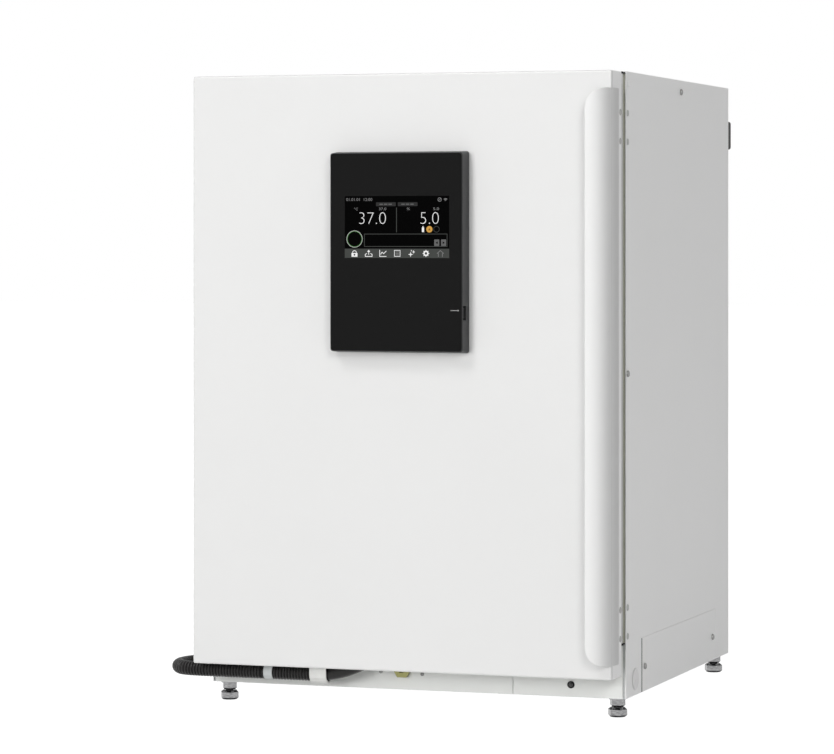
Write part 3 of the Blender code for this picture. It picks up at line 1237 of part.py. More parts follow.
def conduit(cabinet, door):
    """The cable conduit: gland, free loop, the run on the door and its clamp."""
    flange = -HALF_WIDTH
    gland = [(SIDE_PORT_RADIUS - GAP, flange + GLAND_DEPTH), (SIDE_PORT_RADIUS - GAP, flange - GAP),
             (GLAND_RADIUS, flange - GAP), (GLAND_RADIUS, flange - GLAND_FLANGE),
             (CONDUIT_RADIUS * 1.15, flange - GLAND_LENGTH + GAP)]
    piece("conduit_gland", turned(gland, "X", SIDE_PORT_Y, SIDE_PORT_Z, 20), cabinet, BLACK_PLASTIC)
    loop = [Vector((inward - HALF_WIDTH, y, CONDUIT_Z)) for inward, y in LOOP_ROUTE]
    tube("conduit_loop", smooth_route(loop, 1.4 * CONDUIT_RADIUS), CONDUIT_RADIUS, cabinet, RUBBER)
    route, scales = conduit_route()
    tube("conduit_door", route, CONDUIT_RADIUS, door, RUBBER, scales)

    under = DOOR_BOTTOM - GAP
    inner = CONDUIT_RADIUS + GAP
    saddle = inner + SADDLE_WALL
    sweep = [pi + pi * step / 8 for step in range(9)]
    outline = [(DOOR_ROUTE_Y + saddle * cos(a), CONDUIT_Z + saddle * sin(a)) for a in sweep]
    outline += [(DOOR_ROUTE_Y + saddle, under), (DOOR_ROUTE_Y + inner, under)]
    outline += [(DOOR_ROUTE_Y + inner * cos(a), CONDUIT_Z + inner * sin(a)) for a in sweep[::-1]]
    outline += [(DOOR_ROUTE_Y - inner, under), (DOOR_ROUTE_Y - saddle, under)]
    start, end = [inward - HALF_WIDTH for inward in CLAMP_SADDLE]
    piece("conduit_clamp", prism(outline, "X", start, end), door, WHITE_PLASTIC)


def centre_on_origin(assembly):
    """Move the assembly so that the middle of its footprint stands on the world's origin."""
    left = min(inward for inward, _ in LOOP_ROUTE) - HALF_WIDTH - CONDUIT_RADIUS
    right = HALF_WIDTH + GAP + HANDLE_BLADE
    front = min(PANEL_FACE, DOOR_FRONT - HANDLE_REACH)
    rear = CABINET_DEPTH + SPACER_DEPTH
    assembly.empty.location = (-(left + right) / 2, -(front + rear) / 2, 0.0)


def build():
    """Build every piece of the incubator."""
    for thing in list(bpy.data.objects):
        bpy.data.objects.remove(thing, do_unlink=True)
    cabinet = Body("cabinet", (0.0, 0.0, 0.0))
    door = Body("outer_door_axis", PIVOT, cabinet)
    inner_door = Body("inner_door_axis", INNER_PIVOT, cabinet)
    latch = Body("latch_axis", LATCH_AXIS, inner_door)
    fan = Body("fan_axis", (0.0, CHAMBER_BACK, FAN_Z), cabinet)
    stopper = Body("stopper_slide", (PORT_X, CABINET_DEPTH, PORT_Z), cabinet)
    plunger = Body("plunger_slide", (SWITCH_X, DOOR_BACK, CHAMBER_CEILING + SWITCH_RISE), cabinet)
    button = Body("button_slide", (BUTTON_X, 0.0, BUTTON_Z), cabinet)

    casing(cabinet)
    plinth(cabinet)
    front_frame(cabinet)
    side_fittings(cabinet)
    chamber(cabinet)
    shelf_bracket("shelf_bracket_left", -1, cabinet)
    shelf_bracket("shelf_bracket_right", 1, cabinet)
    air_duct(cabinet)
    circulation_fan(cabinet, fan)
    gas_sensor(cabinet)
    access_port(cabinet, stopper)
    gas_inlets(cabinet)
    power_parts(cabinet)
    conduit(cabinet, door)
    door_switch(cabinet, plunger)
    reset_button(button)

    outer_door(door)
    door_gasket(door)
    handle(door)
    control_panel(door)
    door_hinges(cabinet, door)
    glass_door(cabinet, inner_door)
    glass_door_hinges(cabinet, inner_door)
    glass_door_latch(cabinet, latch)

    shelf = shelf_mesh()
    for number, level in enumerate(shelf_levels(), start=1):
        slide = Body(f"shelf_{number}_slide", (0.0, CHAMBER_RIM + SHELF_FRONT, level), cabinet)
        tray = piece(f"shelf_{number}", shelf, slide, STEEL, at=(0.0, 0.0, level))
        cut(tray, shelf_holes(), "holes")
    humidity_pan(Body("pan_slide", (0.0, CHAMBER_RIM + PAN_FRONT, CHAMBER_FLOOR), cabinet))
    foot = foot_mesh()
    for name, (x, y) in zip(("front_left", "front_right", "rear_left", "rear_right"), foot_places()):
        screw = Body(f"foot_{name}_axis", (x, y, 0.0), cabinet)
        piece(f"foot_{name}", foot, screw, CHROME, at=(x, y, 0.0))
    centre_on_origin(cabinet)


build()
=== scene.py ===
"""Dresses a carbon dioxide incubator and sets it in a plain studio.

Lengths are in metres. Every assembly is drawn in the cabinet's own frame: X to the right, Y to the
back, Z up, with its zero on the floor below the middle of the cabinet's front face. `Form.place`
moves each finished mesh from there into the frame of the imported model.
"""
from __future__ import annotations

import logging
from abc import ABC, abstractmethod
from collections.abc import Iterator, Sequence
from dataclasses import dataclass
from enum import Enum
from math import ceil, cos, pi, radians, sin, sqrt

import bmesh
import bpy
from mathutils import Matrix, Vector


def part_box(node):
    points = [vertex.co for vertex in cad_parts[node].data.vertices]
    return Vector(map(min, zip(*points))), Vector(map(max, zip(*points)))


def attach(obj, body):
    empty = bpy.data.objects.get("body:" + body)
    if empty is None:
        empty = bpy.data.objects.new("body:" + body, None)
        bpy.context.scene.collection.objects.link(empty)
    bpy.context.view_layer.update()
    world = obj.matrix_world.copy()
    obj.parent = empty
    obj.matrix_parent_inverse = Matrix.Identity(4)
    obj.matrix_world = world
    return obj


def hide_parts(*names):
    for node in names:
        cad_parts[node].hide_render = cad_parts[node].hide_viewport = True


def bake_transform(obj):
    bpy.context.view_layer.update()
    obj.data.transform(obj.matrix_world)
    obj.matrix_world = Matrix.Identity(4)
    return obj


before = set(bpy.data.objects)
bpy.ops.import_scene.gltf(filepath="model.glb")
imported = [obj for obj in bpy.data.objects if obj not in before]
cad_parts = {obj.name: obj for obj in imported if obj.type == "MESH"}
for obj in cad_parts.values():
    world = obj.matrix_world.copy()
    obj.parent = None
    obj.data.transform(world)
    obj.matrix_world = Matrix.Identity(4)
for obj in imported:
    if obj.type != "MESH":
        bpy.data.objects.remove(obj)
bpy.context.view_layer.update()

LOG = logging.getLogger("incubator")

Triple = tuple[float, float, float]
Colour = Triple
Point = tuple[float, float]
Loop = list[Vector]
Piece = bpy.types.Object
Socket = bpy.types.NodeSocket

CASING_LEFT, CASING_RIGHT = (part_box(f"side_panel_{side}") for side in ("left", "right"))
ORIGIN = Vector(((CASING_LEFT[0].x + CASING_RIGHT[1].x) / 2, CASING_RIGHT[0].y, 0.0))
SMOOTH_BELOW = radians(34)
ROUND_ABOVE = radians(40)
WELD_DISTANCE = 1e-6
MILLIMETRE = 0.001

SHEET_EDGE = 0.0003
PLATE_EDGE = 0.0004
LEAF_EDGE = 0.0005
MOULDED_EDGE = 0.0006


# Outlines and axes

class Axis(Enum):
    """The direction that a flat outline is lifted along."""

    X = 0
    Y = 1
    Z = 2

    @property
    def across(self) -> list[int]:
        """The numbers of the two other axes."""
        return [axis.value for axis in Axis if axis is not self]

    def lift(self, outline: Sequence[Point], level: float) -> Loop:
        """Turn a flat outline into points in space.

        Args:
            outline: Points across the axis, in the order of the other two axes.
            level: Their place along the axis.

        Returns:
            The points in space.
        """
        return [Vector((*point[:self.value], level, *point[self.value:])) for point in outline]

    def middle(self, low: Vector, high: Vector) -> Point:
        """The middle of a box, seen along the axis."""
        return tuple((low[index] + high[index]) / 2 for index in self.across)

    def border(self, low: Vector, high: Vector, inset: float, radius: float) -> list[Point]:
        """The outline of a box, seen along the axis.

        Args:
            low: The box's lowest corner.
            high: Its highest corner.
            inset: How far inside the box the outline runs.
            radius: Radius of its corners.

        Returns:
            The points, anticlockwise.
        """
        start = tuple(low[index] + inset for index in self.across)
        end = tuple(high[index] - inset for index in self.across)
        return rounded(start, end, radius, steps=4)


def circle(centre: Point, radius: float, sides: int = 24, turn: float = 0.0) -> list[Point]:
    """Points round a circle.

    Args:
        centre: The circle's centre.
        radius: Its radius.
        sides: How many points it has.
        turn: Angle of the first point.

    Returns:
        The points, anticlockwise.
    """
    angles = [turn + 2 * pi * step / sides for step in range(sides)]
    return [(centre[0] + radius * cos(angle), centre[1] + radius * sin(angle)) for angle in angles]


def along_sides(corners: Sequence[Point], between: int = 4) -> list[Point]:
    """Points along the sides of a polygon.

    Args:
        corners: The polygon's corners.
        between: Pieces in each side.

    Returns:
        The points in the same order, the corners included.
    """
    outline = []
    for start, end in zip(corners, [*corners[1:], corners[0]]):
        for step in range(between):
            share = step / between
            outline.append((start[0] + (end[0] - start[0]) * share, start[1] + (end[1] - start[1]) * share))
    return outline


def hexagon(centre: Point, corner: float, turn: float = 0.0) -> list[Point]:
    """A hexagon with points along its sides, given by its centre and the distance to its corners."""
    return along_sides(circle(centre, corner, 6, turn))


def rounded(low: Point, high: Point, radius: float, steps: int = 6) -> list[Point]:
    """A rectangle with arcs for corners.

    Args:
        low: The corner with the lowest values.
        high: The corner opposite.
        radius: Radius of the arcs.
        steps: Pieces in each arc.

    Returns:
        The points, anticlockwise.
    """
    centres = ((high[0] - radius, high[1] - radius, 0.0), (low[0] + radius, high[1] - radius, pi / 2),
               (low[0] + radius, low[1] + radius, pi), (high[0] - radius, low[1] + radius, 3 * pi / 2))
    outline = []
    for u, v, start in centres:
        for step in range(steps + 1):
            angle = start + pi / 2 * step / steps
            outline.append((u + radius * cos(angle), v + radius * sin(angle)))
    return outline


def smooth_route(points: Sequence[Vector], spacing: float) -> list[Vector]:
    """Points along a smooth curve through the given ones.

    Args:
        points: Places that the curve passes through.
        spacing: The longest step between the points that come out.

    Returns:
        The curve's points.
    """
    ends = [points[0] * 2 - points[1], *points, points[-1] * 2 - points[-2]]
    route = []
    for before, start, end, after in zip(ends, ends[1:], ends[2:], ends[3:]):
        steps = max(1, ceil((end - start).length / spacing))
        for step in range(steps):
            t = step / steps
            route.append(0.5 * (2 * start + (end - before) * t
                                + (2 * before - 5 * start + 4 * end - after) * t * t
                                + (3 * start - before - 3 * end + after) * t ** 3))
    route.append(points[-1])
    return route


def even_route(points: Sequence[Vector], spacing: float) -> list[Vector]:
    """The same smooth curve, with points at equal distances.

    Args:
        points: Places that the curve passes through.
        spacing: Distance between the points that come out.

    Returns:
        The curve's points, the first and the last included.
    """
    fine = smooth_route(points, spacing / 4)
    lengths = [0.0]
    for start, end in zip(fine, fine[1:]):
        lengths.append(lengths[-1] + (end - start).length)
    count = max(1, round(lengths[-1] / spacing))
    route = []
    index = 0
    for step in range(count + 1):
        goal = lengths[-1] * step / count
        while index < len(fine) - 2 and lengths[index + 1] < goal:
            index += 1
        share = (goal - lengths[index]) / (lengths[index + 1] - lengths[index])
        route.append(fine[index].lerp(fine[index + 1], share))
    return route


def node_box(node: str) -> tuple[Vector, Vector]:
    """Lowest and highest corner of a CAD node, in the cabinet's frame."""
    low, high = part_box(node)
    return low - ORIGIN, high - ORIGIN


# Finishes

class Slot(Enum):
    """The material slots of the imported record."""

    WHITE_PAINT = "white_paint"
    PLINTH_PAINT = "plinth_paint"
    STAINLESS = "stainless"
    ZINC_SHEET = "zinc_sheet"
    CHROME = "chrome"
    BRASS = "brass"
    FAN_METAL = "fan_metal"
    BLACK_PLASTIC = "black_plastic"
    BLACK_FASCIA = "black_fascia"
    GREY_PLASTIC = "grey_plastic"
    WHITE_PLASTIC = "white_plastic"
    SEAL_RUBBER = "seal_rubber"
    SILICONE = "silicone"
    FOAM = "foam"
    CLEAR_GLASS = "clear_glass"


class Graph:
    """A material's nodes, with short calls for those that the finishes share."""

    def __init__(self, name: str) -> None:
        """Start a material.

        Args:
            name: The material's name.
        """
        self.material = bpy.data.materials.new(name)
        self.material.use_nodes = True
        self.nodes = self.material.node_tree.nodes
        self.links = self.material.node_tree.links
        self.shader = self.nodes["Principled BSDF"]
        self.place = self.nodes.new("ShaderNodeTexCoord").outputs["Object"]

    def set(self, **values: float | tuple[float, ...]) -> None:
        """Set constants on the shader's own sockets, named with underscores for spaces."""
        for name, value in values.items():
            self.shader.inputs[name.replace("_", " ")].default_value = value

    def feed(self, source: Socket, socket: str) -> None:
        """Link a value to one of the shader's sockets."""
        self.links.new(source, self.shader.inputs[socket])

    def stretched(self, scale: Triple) -> Socket:
        """The object's coordinates, scaled.

        Args:
            scale: Scale along each axis.

        Returns:
            The scaled coordinates.
        """
        mapping = self.nodes.new("ShaderNodeMapping")
        mapping.inputs["Scale"].default_value = scale
        self.links.new(self.place, mapping.inputs["Vector"])
        return mapping.outputs["Vector"]

    def noise(self, scale: float, detail: float = 2.0,
              stretch: Triple = (1.0, 1.0, 1.0)) -> Socket:
        """A noise pattern.

        Args:
            scale: Its size, in waves per metre.
            detail: How many finer octaves it has.
            stretch: Scale along each axis.

        Returns:
            The pattern's value, about 0 to 1.
        """
        texture = self.nodes.new("ShaderNodeTexNoise")
        texture.inputs["Scale"].default_value = scale
        texture.inputs["Detail"].default_value = detail
        self.links.new(self.stretched(stretch), texture.inputs["Vector"])
        return texture.outputs["Fac"]

    def cells(self, scale: float) -> Socket:
        """A pattern of cells.

        Args:
            scale: How many cells there are to a metre.

        Returns:
            The distance from the middle of each cell.
        """
        texture = self.nodes.new("ShaderNodeTexVoronoi")
        texture.inputs["Scale"].default_value = scale
        self.links.new(self.place, texture.inputs["Vector"])
        return texture.outputs["Distance"]

    def spread(self, source: Socket, low: float, high: float,
               start: float = 0.3, end: float = 0.7) -> Socket:
        """Map a pattern to a range.

        Args:
            source: The pattern.
            low: Value where the pattern is at `start`.
            high: Value where it is at `end`.
            start: Low end of the pattern's range.
            end: High end of the pattern's range.

        Returns:
            The mapped value.
        """
        node = self.nodes.new("ShaderNodeMapRange")
        for name, value in (("From Min", start), ("From Max", end), ("To Min", low), ("To Max", high)):
            node.inputs[name].default_value = value
        self.links.new(source, node.inputs["Value"])
        return node.outputs["Result"]

    def blend(self, source: Socket, first: Colour, second: Colour) -> Socket:
        """Mix two colours by a value.

        Args:
            source: The value.
            first: Colour where it is 0.
            second: Colour where it is 1.

        Returns:
            The mixed colour.
        """
        node = self.nodes.new("ShaderNodeMix")
        node.data_type = "RGBA"
        node.inputs["A"].default_value = (*first, 1.0)
        node.inputs["B"].default_value = (*second, 1.0)
        self.links.new(source, node.inputs["Factor"])
        return node.outputs["Result"]

    def gloss(self, source: Socket, low: float, high: float) -> None:
        """Vary the roughness by a pattern."""
        self.feed(self.spread(source, low, high), "Roughness")

    def relief(self, source: Socket, strength: float, depth: float) -> None:
        """Raise the surface by a pattern.

        Args:
            source: The pattern.
            strength: Share of the depth that shows.
            depth: Height of the pattern.
        """
        node = self.nodes.new("ShaderNodeBump")
        node.inputs["Strength"].default_value = strength
        node.inputs["Distance"].default_value = depth
        self.links.new(source, node.inputs["Height"])
        self.feed(node.outputs["Normal"], "Normal")


@dataclass(frozen=True)
class Finish(ABC):
    """What a surface is made of and how it looks."""

    name: str
    slot: Slot | None
    colour: Colour
    roughness: float

    def material(self) -> bpy.types.Material:
        """The finish's material, made when it is first asked for."""
        title = f"{self.name}_finish"
        known = bpy.data.materials.get(title)
        if known:
            return known
        graph = Graph(title)
        graph.set(Base_Color=(*self.colour, 1.0), Roughness=self.roughness)
        self.lay(graph)
        return graph.material

    @abstractmethod
    def lay(self, graph: Graph) -> None:
        """Add the finish's patterns to its material's nodes."""

    def shades(self, graph: Graph, pattern: Socket, spread: float) -> None:
        """Vary the colour by a pattern.

        Args:
            graph: The material's nodes.
            pattern: The pattern.
            spread: Share of the colour by which the darkest place is darker.
        """
        dark = tuple(channel * (1.0 - spread) for channel in self.colour)
        graph.feed(graph.blend(graph.spread(pattern, 0.0, 1.0), dark, self.colour), "Base Color")


@dataclass(frozen=True)
class PowderCoat(Finish):
    """Baked paint with a fine, even orange peel."""

    peel: float = 700.0
    peel_depth: float = 0.0002
    relief: float = 0.08
    specular: float = 0.35
    clouds: float = 5.0
    fade: float = 0.012
    play: float = 0.03

    def lay(self, graph: Graph) -> None:
        """Add faint clouds, the orange peel and its play in gloss.

        Args:
            graph: The material's nodes.
        """
        graph.set(Specular_IOR_Level=self.specular)
        self.shades(graph, graph.noise(self.clouds, detail=3.0), self.fade)
        peel = graph.noise(self.peel, detail=1.0)
        graph.gloss(peel, self.roughness - self.play, self.roughness + self.play)
        graph.relief(peel, self.relief, self.peel_depth)


@dataclass(frozen=True)
class BrushedMetal(Finish):
    """Sheet with a brushed grain along one direction."""

    along: Axis = Axis.X
    grain: float = 420.0
    grain_depth: float = 0.0001
    stretch: float = 0.012
    relief: float = 0.12
    directional: float = 0.35
    fade: float = 0.10
    play: Point = (0.05, 0.07)

    def lay(self, graph: Graph) -> None:
        """Add the grain to colour, gloss and relief.

        Args:
            graph: The material's nodes.
        """
        graph.set(Metallic=1.0, Anisotropic=self.directional)
        stretch = tuple(self.stretch if axis is self.along else 1.0 for axis in Axis)
        grain = graph.noise(self.grain, 3.0, stretch)
        self.shades(graph, grain, self.fade)
        graph.gloss(grain, self.roughness - self.play[0], self.roughness + self.play[1])
        graph.relief(grain, self.relief, self.grain_depth)


@dataclass(frozen=True)
class CastMetal(Finish):
    """Turned, plated or cast metal with faint tool marks."""

    marks: float = 160.0
    mark_depth: float = 0.0001
    squeeze: Triple = (1.0, 1.0, 6.0)
    spread: float = 0.06
    relief: float = 0.06
    play: Point = (0.8, 1.35)

    def lay(self, graph: Graph) -> None:
        """Add the tool marks to colour, gloss and relief.

        Args:
            graph: The material's nodes.
        """
        graph.set(Metallic=1.0)
        marks = graph.noise(self.marks, 3.0, self.squeeze)
        self.shades(graph, marks, self.spread)
        graph.gloss(marks, self.roughness * self.play[0], self.roughness * self.play[1])
        graph.relief(marks, self.relief, self.mark_depth)


@dataclass(frozen=True)
class Moulded(Finish):
    """Moulded plastic or rubber with a fine spark-eroded grain."""

    grain: float = 1500.0
    grain_depth: float = 0.0001
    relief: float = 0.15
    clouds: float = 90.0
    spread: float = 0.08
    play: float = 0.06
    specular: float = 0.35
    sheen: float = 0.0

    def lay(self, graph: Graph) -> None:
        """Add the grain to colour, gloss and relief.

        Args:
            graph: The material's nodes.
        """
        graph.set(Specular_IOR_Level=self.specular, Sheen_Weight=self.sheen)
        self.shades(graph, graph.noise(self.clouds, detail=4.0), self.spread)
        grain = graph.noise(self.grain)
        graph.gloss(grain, self.roughness - self.play, self.roughness + self.play)
        graph.relief(grain, self.relief, self.grain_depth)


@dataclass(frozen=True)
class Foamed(Finish):
    """Rigid foam with cut cells."""

    cell: float = 1400.0
    cell_depth: float = 0.0004
    relief: float = 0.4
    fade: float = 0.25
    specular: float = 0.1

    def lay(self, graph: Graph) -> None:
        """Add the cells to colour and relief.

        Args:
            graph: The material's nodes.
        """
        graph.set(Specular_IOR_Level=self.specular)
        cells = graph.cells(self.cell)
        self.shades(graph, cells, self.fade)
        graph.relief(cells, self.relief, self.cell_depth)


@dataclass(frozen=True)
class Window(Finish):
    """Black glass with a soft, smoky reflection."""

    specular: float = 0.12
    smoke: float = 9.0
    fade: float = 0.05
    play: float = 0.04

    def lay(self, graph: Graph) -> None:
        """Add a trace of unevenness to colour and gloss.

        Args:
            graph: The material's nodes.
        """
        graph.set(Specular_IOR_Level=self.specular)
        smoke = graph.noise(self.smoke)
        self.shades(graph, smoke, self.fade)
        graph.gloss(smoke, self.roughness, self.roughness + self.play)


@dataclass(frozen=True)
class ClearGlass(Finish):
    """Tempered float glass."""

    refraction: float = 1.45
    waves: float = 12.0
    wave_depth: float = 0.0005
    relief: float = 0.02

    def lay(self, graph: Graph) -> None:
        """Make the body clear, with the rollers' faint waves on its faces."""
        graph.set(Transmission_Weight=1.0, IOR=self.refraction)
        graph.relief(graph.noise(self.waves, detail=1.0), self.relief, self.wave_depth)


@dataclass(frozen=True)
class Backlit(Finish):
    """Lit picture elements behind a screen."""

    strength: float = 1.0
    patches: float = 60.0
    dimmest: float = 0.93

    def lay(self, graph: Graph) -> None:
        """Light the surface, a little uneven from place to place.

        Args:
            graph: The material's nodes.
        """
        graph.set(Specular_IOR_Level=0.0, Emission_Strength=self.strength)
        dim = tuple(channel * self.dimmest for channel in self.colour)
        light = graph.blend(graph.spread(graph.noise(self.patches, detail=1.0), 0.0, 1.0), dim, self.colour)
        graph.feed(light, "Emission Color")
        graph.set(Base_Color=(0.0, 0.0, 0.0, 1.0))


# The casing's and the door's paints are one white paint in a lighter and a darker copy: the lighter on the
# casing and the door's edge band, the darker on the door's front, so that side faces read brighter against
# the front than the lamps make them: painted light.
CASING_PAINT = PowderCoat("casing_powder_coat", Slot.WHITE_PAINT, (0.89, 0.89, 0.885), 0.36, specular=0.6)
DOOR_PAINT = PowderCoat("door_powder_coat", Slot.WHITE_PAINT, (0.69, 0.69, 0.685), 0.42, specular=0.75)
# The liner's paint is lightened beyond its creamy tint so that its edge, in the shaded gap behind the door,
# reads pale: painted light.
LINER_PAINT = PowderCoat("liner_powder_coat", Slot.WHITE_PAINT, (0.90, 0.91, 0.84), 0.42, specular=0.75)
FRAME_PAINT = PowderCoat("frame_powder_coat", Slot.WHITE_PAINT, (0.80, 0.80, 0.795), 0.42)
# The plinth's paint is lighter than the door's so that the plinth, in the door's shadow, reads bright:
# painted light.
PLINTH_PAINT = PowderCoat("plinth_powder_coat", Slot.PLINTH_PAINT, (0.80, 0.81, 0.79), 0.42)
HANDLE_PAINT = PowderCoat("handle_lacquer", Slot.WHITE_PAINT, (0.765, 0.765, 0.76), 0.38, specular=0.0)
STEEL_ACROSS = BrushedMetal("steel_brushed_across", Slot.STAINLESS, (0.60, 0.60, 0.58), 0.28)
STEEL_DEEP = BrushedMetal("steel_brushed_deep", Slot.STAINLESS, (0.60, 0.60, 0.58), 0.26, Axis.Y)
STEEL_UP = BrushedMetal("steel_brushed_up", Slot.STAINLESS, (0.60, 0.60, 0.58), 0.28, Axis.Z)
ZINC = CastMetal("zinc_plate", Slot.ZINC_SHEET, (0.55, 0.56, 0.56), 0.42, marks=30.0, spread=0.14)
# Darker than bright chrome, with tool marks of widely spread shade: partly the plating's tone, partly
# painted reflection of dark surroundings on the feet and lock nuts.
CHROME = CastMetal("bright_chrome", Slot.CHROME, (0.42, 0.42, 0.425), 0.14, spread=0.6)
# Near-black rims on the feet's pad chamfers: painted shade and reflection.
PAINTED_SHADE_STEEL = CastMetal("painted_shade_steel", Slot.CHROME, (0.03, 0.03, 0.032), 0.30)
SCREW_STEEL = CastMetal("screw_steel", Slot.CHROME, (0.26, 0.26, 0.255), 0.30)
BRASS = CastMetal("turned_brass", Slot.BRASS, (0.31, 0.30, 0.13), 0.32)
FAN_METAL = CastMetal("fan_aluminium", Slot.FAN_METAL, (0.80, 0.80, 0.80), 0.34)
BLACK_PLASTIC = Moulded("black_moulding", Slot.BLACK_PLASTIC, (0.012, 0.012, 0.013), 0.50, specular=0.12)
HOUSING_BLACK = Moulded("black_housing", Slot.BLACK_PLASTIC, (0.020, 0.021, 0.022), 0.42, specular=0.42)
BUTTON_GREY = Moulded("button_grey", Slot.GREY_PLASTIC, (0.07, 0.07, 0.07), 0.50)
CONDUIT_BLACK = Moulded("conduit_black", Slot.SEAL_RUBBER, (0.013, 0.012, 0.012), 0.34, spread=0.2,
                        specular=0.30)
# Near-black steel for the data socket's shell: painted shade for the inside of the socket.
SOCKET_SHADE_STEEL = CastMetal("socket_shade_steel", Slot.CHROME, (0.09, 0.09, 0.09), 0.40)
GREY_PLASTIC = Moulded("grey_moulding", Slot.GREY_PLASTIC, (0.36, 0.36, 0.36), 0.50)
SLEEVE_GREY = Moulded("sleeve_grey", Slot.GREY_PLASTIC, (0.52, 0.54, 0.54), 0.50)
WHITE_PLASTIC = Moulded("white_moulding", Slot.WHITE_PLASTIC, (0.72, 0.72, 0.70), 0.45)
PLUG_WHITE = Moulded("plug_white", Slot.WHITE_PLASTIC, (0.50, 0.50, 0.49), 0.50)
COVER_WHITE = Moulded("cover_white", Slot.WHITE_PLASTIC, (0.82, 0.81, 0.81), 0.38, specular=0.55)
RUBBER = Moulded("seal_rubber", Slot.SEAL_RUBBER, (0.022, 0.022, 0.022), 0.62, spread=0.2, sheen=0.05)
SILICONE = Moulded("silicone", Slot.SILICONE, (0.60, 0.60, 0.58), 0.58, spread=0.1)
FOAM = Foamed("rigid_foam", Slot.FOAM, (0.66, 0.66, 0.56), 0.92)
FASCIA = Window("black_fascia", Slot.BLACK_FASCIA, (0.005, 0.005, 0.005), 0.30, specular=0.08)
SCREEN = Window("screen_black", Slot.BLACK_FASCIA, (0.0004, 0.0004, 0.0004), 0.25, specular=0.02)
GLASS = ClearGlass("clear_glass", Slot.CLEAR_GLASS, (0.93, 0.97, 0.96), 0.02)
LIT_WHITE = Backlit("lit_white", None, (0.92, 0.92, 0.92), 0.5)
LIT_PALE = Backlit("lit_pale", None, (0.55, 0.58, 0.54), 0.5)
LIT_DIM = Backlit("lit_dim", None, (0.22, 0.22, 0.22), 0.5)
LIT_GREY = Backlit("lit_grey", None, (0.14, 0.14, 0.14), 0.5)
LIT_BAR = Backlit("lit_bar", None, (0.066, 0.070, 0.066), 0.5)
LIT_SHADE = Backlit("lit_shade", None, (0.035, 0.035, 0.035), 0.5)
LIT_AMBER = Backlit("lit_amber", None, (0.66, 0.36, 0.08), 0.5)
LIT_RUST = Backlit("lit_rust", None, (0.26, 0.12, 0.02), 0.5)
LIT_GREEN = Backlit("lit_green", None, (0.04, 0.17, 0.03), 0.5)


# Meshes

RECESS_ARM = 0.56
RECESS_HALF = 0.14
RECESS_TAPER = 0.8
RECESS_FLOOR = 0.35
SCREW_DOME = ((1.0, 0.0), (1.0, 0.45), (0.94, 0.72), (0.80, 0.93), (0.68, 1.0))


